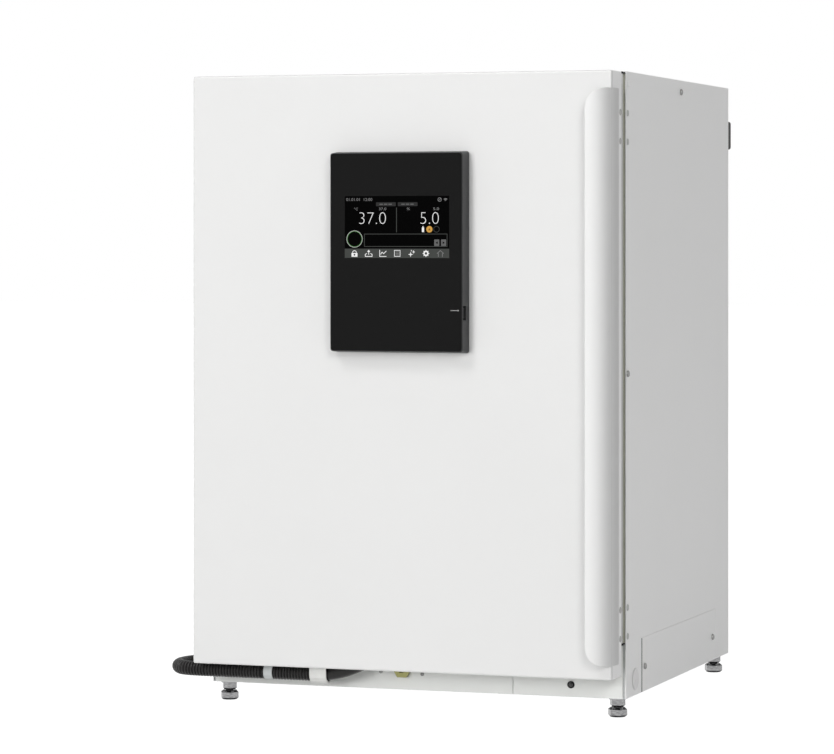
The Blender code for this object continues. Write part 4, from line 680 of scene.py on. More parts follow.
class Form:
    """A mesh in the making, drawn in the cabinet's frame."""

    def __init__(self, name: str) -> None:
        """Start an empty mesh.

        Args:
            name: Name of the piece that it becomes.
        """
        self.name = name
        self.mesh = bmesh.new()

    def loft(self, loops: Sequence[Loop], ring: bool = False, caps: bool = True) -> Form:
        """Join loops of equally many points.

        Args:
            loops: The loops in order.
            ring: Whether the last joins the first.
            caps: Whether the two ends are closed.

        Returns:
            This form.
        """
        rows = [[self.mesh.verts.new(point) for point in loop] for loop in loops]
        pairs = list(zip(rows, rows[1:]))
        if ring:
            pairs.append((rows[-1], rows[0]))
        faces = []
        for row, after in pairs:
            for index, corner in enumerate(row):
                following = (index + 1) % len(row)
                faces.append(self.mesh.faces.new((corner, row[following], after[following], after[index])))
        if caps and not ring:
            faces.append(self.mesh.faces.new(rows[0][::-1]))
            faces.append(self.mesh.faces.new(rows[-1]))
        bmesh.ops.recalc_face_normals(self.mesh, faces=faces)
        return self

    def turned(self, profile: Sequence[Point], axis: Axis, centre: Point, sides: int = 24,
               ring: bool = False) -> Form:
        """Turn a profile round an axis.

        Args:
            profile: Pairs of radius and level.
            axis: The axis's direction.
            centre: Its place across that direction.
            sides: Steps round the axis.
            ring: Whether the profile closes on itself.

        Returns:
            This form.
        """
        loops = [axis.lift(circle(centre, radius, sides), level) for radius, level in profile]
        return self.loft(loops, ring)

    def slab(self, outline: Sequence[Point], axis: Axis, start: float, end: float) -> Form:
        """Extrude a flat outline along an axis, from one level to another."""
        return self.loft([axis.lift(outline, start), axis.lift(outline, end)])

    def tube(self, route: Sequence[Vector], radii: Sequence[float], sides: int = 18) -> Form:
        """Sweep a round section along a route.

        Args:
            route: Points along the middle.
            radii: Radius at each point.
            sides: Points round the section.

        Returns:
            This form.
        """
        across = Vector((0.0, 0.0, 1.0))
        loops = []
        for index, (place, radius) in enumerate(zip(route, radii)):
            way = route[min(index + 1, len(route) - 1)] - route[max(index - 1, 0)]
            way.normalize()
            across = (across - way * across.dot(way)).normalized()
            side = way.cross(across)
            loops.append([place + (across * cos(a) + side * sin(a)) * radius
                          for a in (2 * pi * step / sides for step in range(sides))])
        return self.loft(loops)

    def screw(self, centre: Vector, way: Vector, radius: float, height: float) -> Form:
        """Add a pan head with a cross recess.

        Args:
            centre: Middle of the head's seat.
            way: Direction that the head looks in.
            radius: The head's radius.
            height: How far it stands out.

        Returns:
            This form.
        """
        arm, half = radius * RECESS_ARM, radius * RECESS_HALF
        cross = []
        for quarter in range(4):
            turn = Matrix.Rotation(quarter * pi / 2, 2)
            for point in ((arm, -half), (arm, 0.0), (arm, half), (half, half), (half, half), (half, half)):
                cross.append(tuple(turn @ Vector(point)))
        rim = circle((0.0, 0.0), 1.0, len(cross), -pi / len(cross) * 2)
        loops = [[(u * radius * size, v * radius * size, height * level) for u, v in rim]
                 for size, level in SCREW_DOME]
        loops.append([(u, v, height) for u, v in cross])
        loops.append([(u * RECESS_TAPER, v * RECESS_TAPER, height * RECESS_FLOOR) for u, v in cross])
        turn = way.to_track_quat("Z", "Y").to_matrix()
        return self.loft([[centre + turn @ Vector(point) for point in loop] for loop in loops])

    def place(self, finish: Finish, body: str, bevel: float = 0.0,
              replaces: Sequence[str] = ()) -> Piece:
        """Turn the form into a piece of the model.

        Args:
            finish: The piece's finish.
            body: The CAD body that it rides on.
            bevel: Width of the rounding on its sharp edges.
            replaces: CAD nodes that it stands for.

        Returns:
            The piece.
        """
        bmesh.ops.remove_doubles(self.mesh, verts=self.mesh.verts, dist=WELD_DISTANCE)
        mesh = bpy.data.meshes.new(self.name)
        self.mesh.to_mesh(mesh)
        self.mesh.free()
        mesh.transform(Matrix.Translation(ORIGIN))
        mesh.shade_smooth()
        mesh.set_sharp_from_angle(angle=SMOOTH_BELOW)
        mesh.materials.append(finish.material())
        piece = bpy.data.objects.new(self.name, mesh)
        bpy.context.scene.collection.objects.link(piece)
        if bevel:
            round_edges(piece, bevel)
        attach(piece, body)
        if replaces:
            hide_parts(*replaces)
        return piece


def round_edges(piece: Piece, width: float, segments: int = 2) -> None:
    """Round the sharp edges of a piece with a modifier.

    Args:
        piece: The piece.
        width: Width of the rounding.
        segments: Steps across it.
    """
    step = piece.modifiers.new("rounding", "BEVEL")
    step.width = width
    step.segments = segments
    step.limit_method = "ANGLE"
    step.angle_limit = ROUND_ABOVE
    step.harden_normals = True


def dress(node: str, finish: Finish, bevel: float = 0.0) -> Piece:
    """Give a CAD node its finish.

    Args:
        node: The node's name.
        finish: What it is made of.
        bevel: Width of the rounding on its sharp edges.

    Returns:
        The node's object.
    """
    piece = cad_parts[node]
    piece.data.materials.clear()
    piece.data.materials.append(finish.material())
    if bevel:
        weld = piece.modifiers.new("weld", "WELD")
        weld.merge_threshold = WELD_DISTANCE
        round_edges(piece, bevel)
    return piece


# Assemblies

class Assembly(ABC):
    """Pieces that a maker's drawing would show together."""

    @abstractmethod
    def build(self) -> Iterator[Piece]:
        """Make or dress the pieces, one after another."""


@dataclass(frozen=True)
class HolePlugs:
    """Plugs in the holes that would carry the hinges on the other side."""

    levels: tuple[float, ...] = (0.842, 0.802, 0.154, 0.114)
    setback: float = 0.0065
    radius: float = 0.0046
    height: float = 0.0012
    dome: tuple[Point, ...] = ((0.70, -1.0), (0.98, 0.0), (1.0, 0.35), (0.86, 0.80), (0.50, 1.0))
    sides: int = 20

    def profile(self, seat: float, way: int = 1) -> list[Point]:
        """The profile of a low domed plug, from inside its hole outwards.

        Args:
            seat: Level of the sheet that it sits in.
            way: Direction that it looks in along the axis.

        Returns:
            Pairs of radius and level.
        """
        return [(self.radius * across, seat + way * self.height * along) for across, along in self.dome]

    def fit(self, name: str, face: float, y: float, body: str) -> Piece:
        """Close the four holes of a right-hand face.

        Args:
            name: Name of the piece.
            face: Level of the face.
            y: How far back the holes are.
            body: The body that the plugs ride on.

        Returns:
            The plugs as one piece.
        """
        form = Form(name)
        for z in self.levels:
            form.turned(self.profile(face), Axis.X, (y, z), self.sides)
        return form.place(PLUG_WHITE, body)


@dataclass
class Casing(Assembly):
    """The cabinet's painted sheets, with their screws and plugs, and painted shadow strips at the service
    covers' front seams.
    """

    edge: float = 0.0007
    screw_radius: float = 0.0046
    screw_height: float = 0.0027
    top_screw: float = 0.297
    top_screw_drop: float = 0.0173
    top_plug: float = 0.012
    middle_screw: Point = (0.0060, 0.4793)
    cover_screws: tuple[Point, ...] = ((0.096, 0.0625), (0.484, 0.0625))
    plugs: HolePlugs = HolePlugs()
    seam: float = 0.00055
    seam_clearance: float = 0.00003
    seam_depth: float = 0.0006
    flange_depth: float = 0.0018
    # Sizes of the dark strips along the covers' front seams, which are painted shadow.
    shadow_strip_width: float = 0.0026
    shadow_strip_height: float = 0.00015
    shadow_strip_sink: float = 0.0005
    shadow_strip_foot: float = 0.0003
    shadow_strip_corner: float = 0.0011
    buffer_radius: float = 0.0015
    buffer_reach: float = 0.0120
    buffer_gap: float = 0.0005
    buffer_chamfer: float = 0.0006
    buffer_tip: float = 0.7
    rear_inset: float = 0.034
    rear_rows: int = 5

    def build(self) -> Iterator[Piece]:
        """Dress the sheets, add what fastens and closes them, and lay the painted shadow strips."""
        for node in ("side_panel_left", "side_panel_right", "top_panel", "rear_panel",
                     "service_cover_left", "service_cover_right"):
            yield dress(node, CASING_PAINT, self.edge)
        yield dress("front_frame", FRAME_PAINT)
        yield dress("base_pan", ZINC)
        yield dress("side_port_plug", COVER_WHITE)
        for side in ("left", "right"):
            yield dress(f"rear_spacer_{side}", BLACK_PLASTIC)
        yield self.side_screws()
        yield self.rear_screws()
        face = node_box("side_panel_right")[1].x
        yield self.plugs.fit("cabinet_hole_plugs", face, self.plugs.setback, "cabinet")
        yield self.top_plugs()
        yield self.seam_strips()
        yield self.front_shadow_strips()
        yield self.corner_buffers()

    def side_screws(self) -> Piece:
        """Screws on both sides, along the top, halfway up and on the service covers."""
        form = Form("side_screws")
        high = node_box("side_panel_right")[1]
        places = [(self.top_screw, high.z - self.top_screw_drop), self.middle_screw, *self.cover_screws]
        for side in (-1, 1):
            for y, z in places:
                form.screw(Vector((side * high.x, y, z)), Vector((side, 0, 0)),
                           self.screw_radius, self.screw_height)
        return form.place(SCREW_STEEL, "cabinet")

    def rear_screws(self) -> Piece:
        """Screws down both edges of the rear panel."""
        form = Form("rear_panel_screws")
        low, high = node_box("rear_panel")
        height = high.z - low.z - 2 * self.rear_inset
        for side in (low.x + self.rear_inset / 2, high.x - self.rear_inset / 2):
            for row in range(self.rear_rows):
                z = low.z + self.rear_inset + height * row / (self.rear_rows - 1)
                form.screw(Vector((side, high.y, z)), Vector((0, 1, 0)),
                           self.screw_radius, self.screw_height)
        return form.place(SCREW_STEEL, "cabinet")

    def top_plugs(self) -> Piece:
        """A painted plug on each side, near the top of the front edge."""
        form = Form("top_plugs")
        low, high = node_box("side_panel_left")[0], node_box("side_panel_right")[1]
        place = (self.top_plug, high.z - self.top_screw_drop)
        for face, way in ((low.x, -1), (high.x, 1)):
            form.turned(self.plugs.profile(face, way), Axis.X, place, self.plugs.sides)
        return form.place(CASING_PAINT, "cabinet")

    def covers(self) -> Iterator[tuple[Vector, Vector, float, int]]:
        """Lowest and highest corner, outer face and outward direction of each service cover."""
        for side, way in (("left", -1), ("right", 1)):
            low, high = node_box(f"service_cover_{side}")
            yield low, high, high.x if way > 0 else low.x, way

    def seam_strips(self) -> Piece:
        """The flange behind the seam over each service cover."""
        form = Form("cover_flanges")
        for low, high, face, way in self.covers():
            bottom, top = high.z + self.seam_clearance, high.z + self.seam
            form.slab([(low.y, bottom), (high.y, bottom), (high.y, top), (low.y, top)], Axis.X,
                      face - way * self.flange_depth, face - way * self.seam_depth)
        return form.place(CASING_PAINT, "cabinet")

    def front_shadow_strips(self) -> Piece:
        """A dark grey strip along the front edge of each service cover: painted shadow in the seam."""
        form = Form("cover_shadow_strips")
        for low, high, face, way in self.covers():
            outline = rounded((low.y - self.seam, low.z + self.shadow_strip_foot),
                              (low.y + self.shadow_strip_width, high.z), self.shadow_strip_corner, steps=3)
            form.slab(outline, Axis.X, face - way * self.shadow_strip_sink, face + way * self.shadow_strip_height)
        # The dark grey strip is painted shadow for the seam.
        return form.place(BUTTON_GREY, "cabinet")

    def corner_buffers(self) -> Piece:
        """Black buffers between the casing and the door, at the ends of the front frame."""
        form = Form("corner_buffers")
        low, high = node_box("front_frame")
        radius, tip = self.buffer_radius, low.y - self.buffer_reach
        profile = [(radius, low.y), (radius, tip + self.buffer_chamfer), (radius * self.buffer_tip, tip)]
        for x in (low.x - radius - self.buffer_gap, high.x + radius + self.buffer_gap):
            for z in (low.z, high.z):
                form.turned(profile, Axis.Y, (x, z), sides=16)
        return form.place(BLACK_PLASTIC, "cabinet")


@dataclass
class Plinth(Assembly):
    """The front plates below the door, with the drain and the reset button."""

    bezel_radius: float = 0.0051
    bezel_bore: float = 0.0034
    bezel_reach: float = 0.0019
    bezel_edge: float = 0.0005
    bore_edge: float = 0.0004
    screws: tuple[Point, ...] = ((0.0102, 0.050), (-0.0519, 0.0512))
    screw_radius: float = 0.0027
    screw_height: float = 0.0016
    drain_flats: float = 0.0240
    drain_seat: Point = (0.96, 0.0003)
    drain_chamfer: float = 0.0011
    drain_face: float = 0.93
    drain_bore: float = 0.0062
    drain_bore_end: Point = (0.97, 0.0045)
    drain_neck: Point = (0.70, 0.0002)

    def build(self) -> Iterator[Piece]:
        """Dress the plates and add the drain, the button's bezel and the screws."""
        for side in ("left", "right"):
            yield dress(f"plinth_plate_{side}", PLINTH_PAINT, PLATE_EDGE)
        yield self.drain_plug()
        yield dress("reset_button", BUTTON_GREY)
        yield self.bezel()
        form = Form("plinth_screws")
        for x, z in self.screws:
            form.screw(Vector((x, 0.0, z)), Vector((0, -1, 0)), self.screw_radius, self.screw_height)
        yield form.place(SCREW_STEEL, "cabinet")

    def drain_plug(self) -> Piece:
        """The drain's hexagon, chamfered, with a hexagon socket in its face."""
        low, high = node_box("drain_port")
        centre = Axis.Y.middle(low, high)
        corner = self.drain_flats / sqrt(3)
        seat, seat_gap = self.drain_seat
        taper, bore_depth = self.drain_bore_end
        neck, neck_gap = self.drain_neck
        rows = [(corner * seat, -seat_gap), (corner, -self.drain_chamfer),
                (corner, low.y + self.drain_chamfer), (corner * self.drain_face, low.y),
                (self.drain_bore, low.y), (self.drain_bore * taper, low.y + bore_depth)]
        form = Form("drain_plug")
        form.loft([Axis.Y.lift(hexagon(centre, size), level) for size, level in rows])
        form.turned([(corner * neck, -neck_gap), (corner * neck, high.y)], Axis.Y, centre)
        return form.place(BRASS, "cabinet", replaces=["drain_port"])

    def bezel(self) -> Piece:
        """The black ring round the reset button."""
        radius, bore, face = self.bezel_radius, self.bezel_bore, -self.bezel_reach
        form = Form("button_bezel")
        form.turned([(bore, 0.0), (radius, 0.0), (radius, face + self.bezel_edge),
                     (radius - self.bezel_edge, face), (bore + self.bore_edge, face),
                     (bore, face + self.bore_edge)], Axis.Y, Axis.Y.middle(*node_box("reset_button")),
                    sides=28, ring=True)
        return form.place(BLACK_PLASTIC, "cabinet")


FOOT_BODIES = {"foot_front_left": "foot_a", "foot_front_right": "foot_b",
               "foot_rear_left": "foot_c", "foot_rear_right": "foot_d"}


@dataclass
class LevellingFeet(Assembly):
    """Four screw feet with their lock nuts and washers."""

    pad_flats: float = 0.024
    pad_height: float = 0.013
    pad_play: float = 0.0002
    sole: tuple[Point, ...] = ((0.78, 0.0), (0.90, 0.0006))
    crown: float = 0.86
    chamfer: float = 0.0026
    stud_radius: float = 0.006
    pitch: float = 0.00175
    thread: Point = (0.35, 0.85)
    thread_depth: float = 0.0007
    nut_flats: float = 0.0192
    nut_height: float = 0.0102
    nut_face: float = 0.74
    nut_chamfer: float = 0.0022
    bore_play: float = 0.0002
    washer_radius: float = 0.0126
    washer_height: float = 0.0026
    washer_edge: Point = (0.0003, 0.0004)
    turn: float = radians(-60)
    rim: float = 0.00005
    rim_bore: float = 0.6

    def build(self) -> Iterator[Piece]:
        """Make each foot, then the nuts and washers that lock them."""
        places = []
        for node in FOOT_BODIES:
            low, high = node_box(node)
            centre = Axis.Z.middle(low, high)
            places.append(centre)
            yield self.foot(node, centre, high.z)
            yield self.shaded_pad_rims(node, centre)
        yield self.lock_nuts(places)

    def round_loop(self, centre: Point, radius: float, level: float) -> Loop:
        """A level circle round a foot's axis."""
        return Axis.Z.lift(circle(centre, radius, 24, self.turn), level)

    def flat_loop(self, centre: Point, corner: float, level: float) -> Loop:
        """A level hexagon round a foot's axis."""
        return Axis.Z.lift(hexagon(centre, corner, self.turn), level)

    def foot(self, node: str, centre: Point, top: float) -> Piece:
        """One foot: a chamfered hexagonal pad on a threaded stud.

        Args:
            node: The CAD node that it stands for.
            centre: Its place on the floor.
            top: Height of the stud's end.

        Returns:
            The foot.
        """
        corner, across = self.pad_flats / sqrt(3), self.pad_flats / 2 - self.pad_play
        height, radius = self.pad_height, self.stud_radius
        loops = [self.round_loop(centre, across * share, level) for share, level in self.sole]
        loops += [self.flat_loop(centre, corner, level) for level in (self.chamfer, height - self.chamfer)]
        loops += [self.round_loop(centre, size, height) for size in (across * self.crown, radius)]
        root, crest = self.thread
        level = height
        while level < top - self.pitch:
            loops.append(self.round_loop(centre, radius - self.thread_depth, level + self.pitch * root))
            loops.append(self.round_loop(centre, radius, level + self.pitch * crest))
            level += self.pitch
        return Form(f"{node}_screw").loft(loops).place(CHROME, FOOT_BODIES[node], replaces=[node])

    def shaded_pad_rims(self, node: str, centre: Point) -> Piece:
        """Dark rims at the top and bottom of a foot's pad: painted shade and reflection on its chamfers.

        Args:
            node: The foot's CAD node.
            centre: Its place on the floor.

        Returns:
            Both rims as one piece.
        """
        corner, across = self.pad_flats / sqrt(3) + self.rim, self.pad_flats / 2 - self.pad_play
        bore = across * self.rim_bore
        form = Form(f"{node}_rims")
        for level, way, share in ((self.pad_height + self.rim, -1, self.crown), (0.0, 1, self.sole[-1][0])):
            inside = level + way * self.chamfer
            form.loft([self.round_loop(centre, bore, level),
                       self.round_loop(centre, across * share + self.rim, level),
                       self.flat_loop(centre, corner, inside),
                       self.round_loop(centre, bore, inside)], ring=True)
        # The near-black rims are painted shade and reflection.
        return form.place(PAINTED_SHADE_STEEL, FOOT_BODIES[node])

    def lock_nuts(self, places: Sequence[Point]) -> Piece:
        """The lock nuts and washers under the casing.

        Args:
            places: Where the feet stand.

        Returns:
            All of them as one piece.
        """
        under = node_box("plinth_plate_left")[0].z
        washer = under - self.washer_height
        low = washer - self.nut_height
        corner = self.nut_flats / sqrt(3)
        bore, radius = self.stud_radius + self.bore_play, self.washer_radius
        edge, rise = self.washer_edge
        form = Form("lock_nuts")
        for centre in places:
            form.turned([(bore, washer), (radius - edge, washer), (radius, washer + rise), (radius, under),
                         (bore, under)], Axis.Z, centre, sides=32, ring=True)
            form.loft([self.round_loop(centre, bore, washer), self.round_loop(centre, bore, low),
                       self.round_loop(centre, corner * self.nut_face, low),
                       self.flat_loop(centre, corner, low + self.nut_chamfer),
                       self.flat_loop(centre, corner, washer)], ring=True)
        return form.place(CHROME, "cabinet")


@dataclass
class Chamber(Assembly):
    """The steel chamber with its rails, duct, fan, sensor and foam."""

    screw_inset: float = 0.012
    screw_radius: float = 0.0034
    screw_height: float = 0.0018

    def build(self) -> Iterator[Piece]:
        """Dress the chamber's pieces and add the duct's screws."""
        yield dress("inner_chamber", STEEL_UP)
        yield dress("cabinet_insulation", FOAM)
        for side in ("left", "right"):
            yield dress(f"shelf_bracket_{side}", STEEL_DEEP, SHEET_EDGE)
        yield dress("duct_cover", STEEL_UP, PLATE_EDGE)
        yield dress("fan_impeller", FAN_METAL)
        yield dress("fan_motor", ZINC)
        yield dress("gas_sensor", WHITE_PLASTIC)
        yield dress("humidity_pan", STEEL_ACROSS, SHEET_EDGE)
        yield self.duct_screws()

    def duct_screws(self) -> Piece:
        """A screw in each corner of the duct cover."""
        low, high = node_box("duct_cover")
        form = Form("duct_screws")
        inset = self.screw_inset
        for x in (low.x + inset, high.x - inset):
            for z in (low.z + inset, high.z - inset):
                form.screw(Vector((x, low.y, z)), Vector((0, -1, 0)), self.screw_radius, self.screw_height)
        return form.place(SCREW_STEEL, "cabinet")


@dataclass
class Shelves(Assembly):
    """Perforated shelves with folded edges."""

    columns: int = 15
    rows: int = 14
    margin: float = 0.012
    sheet: float = 0.001
    hole_radius: float = 0.0088
    hole_sides: int = 16
    fold_radius: float = 0.003
    corner: float = 0.005
    least_corner: float = 0.001
    overlap: float = 0.0004
    field_drop: float = 0.00005
    field_thinning: float = 0.0001

    def build(self) -> Iterator[Piece]:
        """Make each shelf over its CAD node."""
        for number, body in enumerate(("shelf_a", "shelf_b", "shelf_c", "shelf_d"), start=1):
            yield self.shelf(f"shelf_{number}", body)

    def shelf(self, node: str, body: str) -> Piece:
        """One shelf.

        Args:
            node: The CAD node that it stands for.
            body: The body that it rides on.

        Returns:
            The shelf.
        """
        low, high = node_box(node)
        form = Form(f"{node}_sheet")
        self.border(form, low, high)
        self.field(form, low, high)
        return form.place(STEEL_ACROSS, body, replaces=[node])

    def border(self, form: Form, low: Vector, high: Vector) -> None:
        """Add the shelf's folded border.

        Args:
            form: The shelf in the making.
            low: The shelf's lowest corner.
            high: The shelf's highest corner.
        """
        sheet, bend = self.sheet, self.fold_radius
        inner = self.margin + self.overlap
        section = [(0.0, low.z), (0.0, high.z - bend)]
        section += [(bend * (1 - cos(a)), high.z - bend * (1 - sin(a)))
                    for a in (pi / 8, pi / 4, 3 * pi / 8, pi / 2)]
        section += [(inner, high.z), (inner, high.z - sheet)]
        tight = bend - sheet
        section += [(sheet + tight * (1 - cos(a)), high.z - sheet - tight * (1 - sin(a)))
                    for a in (pi / 2, pi / 4, 0.0)]
        section.append((sheet, low.z))
        loops = []
        for inset, level in section:
            corner = max(self.least_corner, self.corner - inset)
            loops.append(Axis.Z.lift(Axis.Z.border(low, high, inset, corner), level))
        form.loft(loops, ring=True)

    def field(self, form: Form, low: Vector, high: Vector) -> None:
        """Add the shelf's perforated sheet.

        Args:
            form: The shelf in the making.
            low: The shelf's lowest corner.
            high: The shelf's highest corner.
        """
        top = high.z - self.field_drop
        under = top - self.sheet + self.field_thinning
        width = (high.x - low.x - 2 * self.margin) / self.columns
        depth = (high.y - low.y - 2 * self.margin) / self.rows
        mesh = form.mesh
        for column in range(self.columns):
            for row in range(self.rows):
                centre = (low.x + self.margin + (column + 0.5) * width,
                          low.y + self.margin + (row + 0.5) * depth)
                hole = circle(centre, self.hole_radius, self.hole_sides, pi / 4)
                cell = along_sides([(centre[0] + u * width / 2, centre[1] + v * depth / 2)
                                    for u, v in ((1, 1), (-1, 1), (-1, -1), (1, -1))])
                edges = []
                for outline, level in ((cell, top), (hole, top), (hole, under), (cell, under)):
                    edges.append([mesh.verts.new(point) for point in Axis.Z.lift(outline, level)])
                for ring, after in zip(edges, edges[1:]):
                    for index in range(self.hole_sides):
                        following = (index + 1) % self.hole_sides
                        mesh.faces.new((ring[index], ring[following], after[following], after[index]))
                self.close_edges(mesh, edges, column, row)
        bmesh.ops.remove_doubles(mesh, verts=mesh.verts, dist=WELD_DISTANCE)
        bmesh.ops.recalc_face_normals(mesh, faces=mesh.faces)

    def close_edges(self, mesh: bmesh.types.BMesh, edges: list[list[bmesh.types.BMVert]],
                    column: int, row: int) -> None:
        """Close the sheet's rim where a cell lies at its border.

        Args:
            mesh: The shelf's mesh.
            edges: The cell's loops, of which the first and last run round it.
            column: The cell's column.
            row: The cell's row.
        """
        borders = (row == self.rows - 1, column == 0, row == 0, column == self.columns - 1)
        top, under = edges[0], edges[-1]
        for side, border in enumerate(borders):
            if border:
                for step in range(4):
                    index, following = side * 4 + step, (side * 4 + step + 1) % self.hole_sides
                    mesh.faces.new((top[index], top[following], under[following], under[index]))


@dataclass
class OuterDoor(Assembly):
    """The insulated door's shell, gasket, handle and hole plugs."""

    # Size of the band of lighter paint on the door's edge, which is painted light.
    band_sheet: float = 0.0001
    band_setback: float = 0.0062
    band_corner: float = 0.002
    gasket_width: float = 0.014
    gasket_fold: float = 0.0036
    gasket_corner: float = 0.006
    gasket_folds: tuple[Point, ...] = ((0.0, 0.0), (0.0, 0.12), (1.0, 0.24), (0.0, 0.36), (1.0, 0.50),
                                       (0.0, 0.64), (0.6, 0.72), (0.0, 0.78), (0.0, 0.96), (0.3, 1.0))
    blade: float = 0.0024
    blade_fullness: float = 2.3
    blade_steps: int = 48
    cut_width: float = 0.030
    cut_height: float = 0.0275
    blade_edge: float = 0.0007
    plugs: HolePlugs = HolePlugs()

    def build(self) -> Iterator[Piece]:
        """Dress the shell and make the gasket, the handle and the plugs."""
        yield dress("door_skin", DOOR_PAINT)
        yield dress("door_liner", LINER_PAINT)
        yield dress("door_insulation", FOAM)
        yield self.lighter_side_band()
        yield self.gasket()
        yield self.handle()
        high = node_box("door_skin")[1]
        yield self.plugs.fit("door_hole_plugs", high.x, high.y - self.plugs.setback, "outer_door")

    def lighter_side_band(self) -> Piece:
        """A band of the casing's lighter paint round the door's edge: painted light that makes the door's
        sides brighter than its front.
        """
        low, high = node_box("door_skin")
        out, front = self.band_sheet, low.y + self.band_setback
        form = Form("door_side_band_painted_light")
        section = ((-out, front), (out, front + out), (out, high.y - out), (-out, high.y - out))
        form.loft([Axis.Y.lift(Axis.Y.border(low, high, -size, self.band_corner + size), level)
                   for size, level in section], ring=True)
        # The casing's lighter paint on the door's sides is painted light.
        return form.place(CASING_PAINT, "outer_door")

    def gasket(self) -> Piece:
        """The bellows gasket round the door's back."""
        low, high = node_box("door_gasket")
        depth = high.y - low.y
        folds = [(share * self.gasket_fold, low.y + depth * level) for share, level in self.gasket_folds]
        section = folds + [(self.gasket_width - margin, level) for margin, level in folds[::-1]]
        form = Form("door_bellows")
        form.loft([Axis.Y.lift(Axis.Y.border(low, high, margin, self.gasket_corner), level)
                   for margin, level in section], ring=True)
        return form.place(RUBBER, "outer_door", replaces=["door_gasket"])

    def blade_rows(self, low: Vector, high: Vector) -> list[tuple[Point, Point]]:
        """Pairs of outer and inner points from the handle's free lip round to its tail.

        Args:
            low: Lowest corner of the handle.
            high: Highest corner of the handle.

        Returns:
            The pairs, as points seen from above.
        """
        width, depth = high.x - low.x, high.y - low.y
        power = self.blade_fullness
        rows = []
        for step in range(self.blade_steps + 1):
            angle = pi / 2 * step / self.blade_steps
            across, along = sin(angle) ** (2 / power), max(0.0, cos(angle)) ** (2 / power)
            outer = Vector((low.x + width * across, high.y - depth * along))
            out = Vector((across ** (power - 1) / width, -along ** (power - 1) / depth)).normalized()
            rows.append((tuple(outer), tuple(outer - self.blade * out)))
        return rows

    def handle(self) -> Piece:
        """The blade that wraps the door's free edge, rounded off at top and bottom."""
        low, high = node_box("door_handle")
        form = Form("handle_blade")
        loops = []
        for outer, inner in self.blade_rows(low, high):
            share = max(0.0, 1 - (outer[0] - low.x) / self.cut_width)
            drop = self.cut_height * (1 - sqrt(max(0.0, 1 - share * share)))
            bottom, top = low.z + drop, high.z - drop
            loops.append([Vector((*outer, bottom)), Vector((*outer, top)), Vector((*inner, top)),
                          Vector((*inner, bottom))])
        form.loft(loops)
        return form.place(HANDLE_PAINT, "outer_door", bevel=self.blade_edge, replaces=["door_handle"])


@dataclass
class Hinges(Assembly):
    """The outer door's two hinges and their screws."""

    screw_pitch: float = 0.040
    hole_offset: float = 0.019
    gap_middle: float = -0.0125
    leaf_face: float = 0.0033
    screw_radius: float = 0.0043
    screw_height: float = 0.0020

    def build(self) -> Iterator[Piece]:
        """Dress the leaves and screw them on."""
        for place in ("lower", "upper"):
            for leaf in ("cabinet", "door"):
                yield dress(f"hinge_{place}_{leaf}_leaf", CASING_PAINT, LEAF_EDGE)
        yield self.screws("cabinet", "cabinet", 1)
        yield self.screws("door", "outer_door", -1)

    def screws(self, leaf: str, body: str, way: int) -> Piece:
        """The screws of both hinges' leaves on one side of the gap.

        Args:
            leaf: Which leaves they hold.
            body: The body that they ride on.
            way: 1 behind the pivot, -1 in front of it.

        Returns:
            The screws as one piece.
        """
        form = Form(f"hinge_{leaf}_screws")
        face = node_box("side_panel_left")[0].x - self.leaf_face
        y = self.gap_middle + way * self.hole_offset
        for place in ("lower", "upper"):
            low, high = node_box(f"hinge_{place}_{leaf}_leaf")
            for side in (-1, 1):
                z = (low.z + high.z) / 2 + side * self.screw_pitch / 2
                form.screw(Vector((face, y, z)), Vector((-1, 0, 0)), self.screw_radius, self.screw_height)
        return form.place(SCREW_STEEL, body)


@dataclass
class InnerDoor(Assembly):
    """The glass door with its strips, gasket and latch."""

    screw_count: int = 6
    screw_radius: float = 0.0030
    screw_inset: float = 0.007
    screw_seat: float = 0.0019
    screw_height: float = 0.0014

    def build(self) -> Iterator[Piece]:
        """Dress the pieces and screw the strip through the glass."""
        yield dress("inner_glass", GLASS, MOULDED_EDGE)
        yield dress("inner_gasket", RUBBER)
        yield dress("inner_door_strip", STEEL_UP, SHEET_EDGE)
        yield dress("inner_hinge_strip", STEEL_UP, SHEET_EDGE)
        yield dress("latch_catch", STEEL_UP, PLATE_EDGE)
        yield dress("latch_lever", STEEL_UP, MOULDED_EDGE)
        low, high = node_box("inner_door_strip")
        x, y = high.x - self.screw_inset, node_box("inner_glass")[0].y - self.screw_seat
        form = Form("strip_screws")
        for number in range(self.screw_count):
            z = low.z + (high.z - low.z) * (number + 0.5) / self.screw_count
            form.screw(Vector((x, y, z)), Vector((0, -1, 0)), self.screw_radius, self.screw_height)
        yield form.place(SCREW_STEEL, "inner_door")


@dataclass
class Fittings(Assembly):
    """What passes through the rear panel, and the door switch."""

    pins: tuple[Point, ...] = ((-0.007, -0.0015), (0.0, 0.0025), (0.007, -0.0015))
    pin_half: Point = (0.001, 0.002)
    pin_corner: float = 0.0004
    pin_ends: Point = (0.0142, 0.0025)

    def build(self) -> Iterator[Piece]:
        """Dress the fittings and put the pins in the mains inlet."""
        yield dress("access_port", WHITE_PLASTIC)
        yield dress("port_stopper", SILICONE)
        yield dress("gas_inlets", BRASS)
        yield dress("mains_inlet", BLACK_PLASTIC, MOULDED_EDGE)
        yield dress("control_box", ZINC)
        yield dress("door_switch", WHITE_PLASTIC, MOULDED_EDGE)
        yield dress("switch_plunger", BLACK_PLASTIC)
        yield self.mains_pins()

    def mains_pins(self) -> Piece:
        """The three flat pins in the mains inlet."""
        low, high = node_box("mains_inlet")
        centre = Axis.Y.middle(low, high)
        half, tall = self.pin_half
        form = Form("mains_pins")
        for right, up in self.pins:
            x, z = centre[0] + right, centre[1] + up
            form.slab(rounded((x - half, z - tall), (x + half, z + tall), self.pin_corner, steps=2), Axis.Y,
                      *(high.y - inset for inset in self.pin_ends))
        return form.place(BRASS, "cabinet")


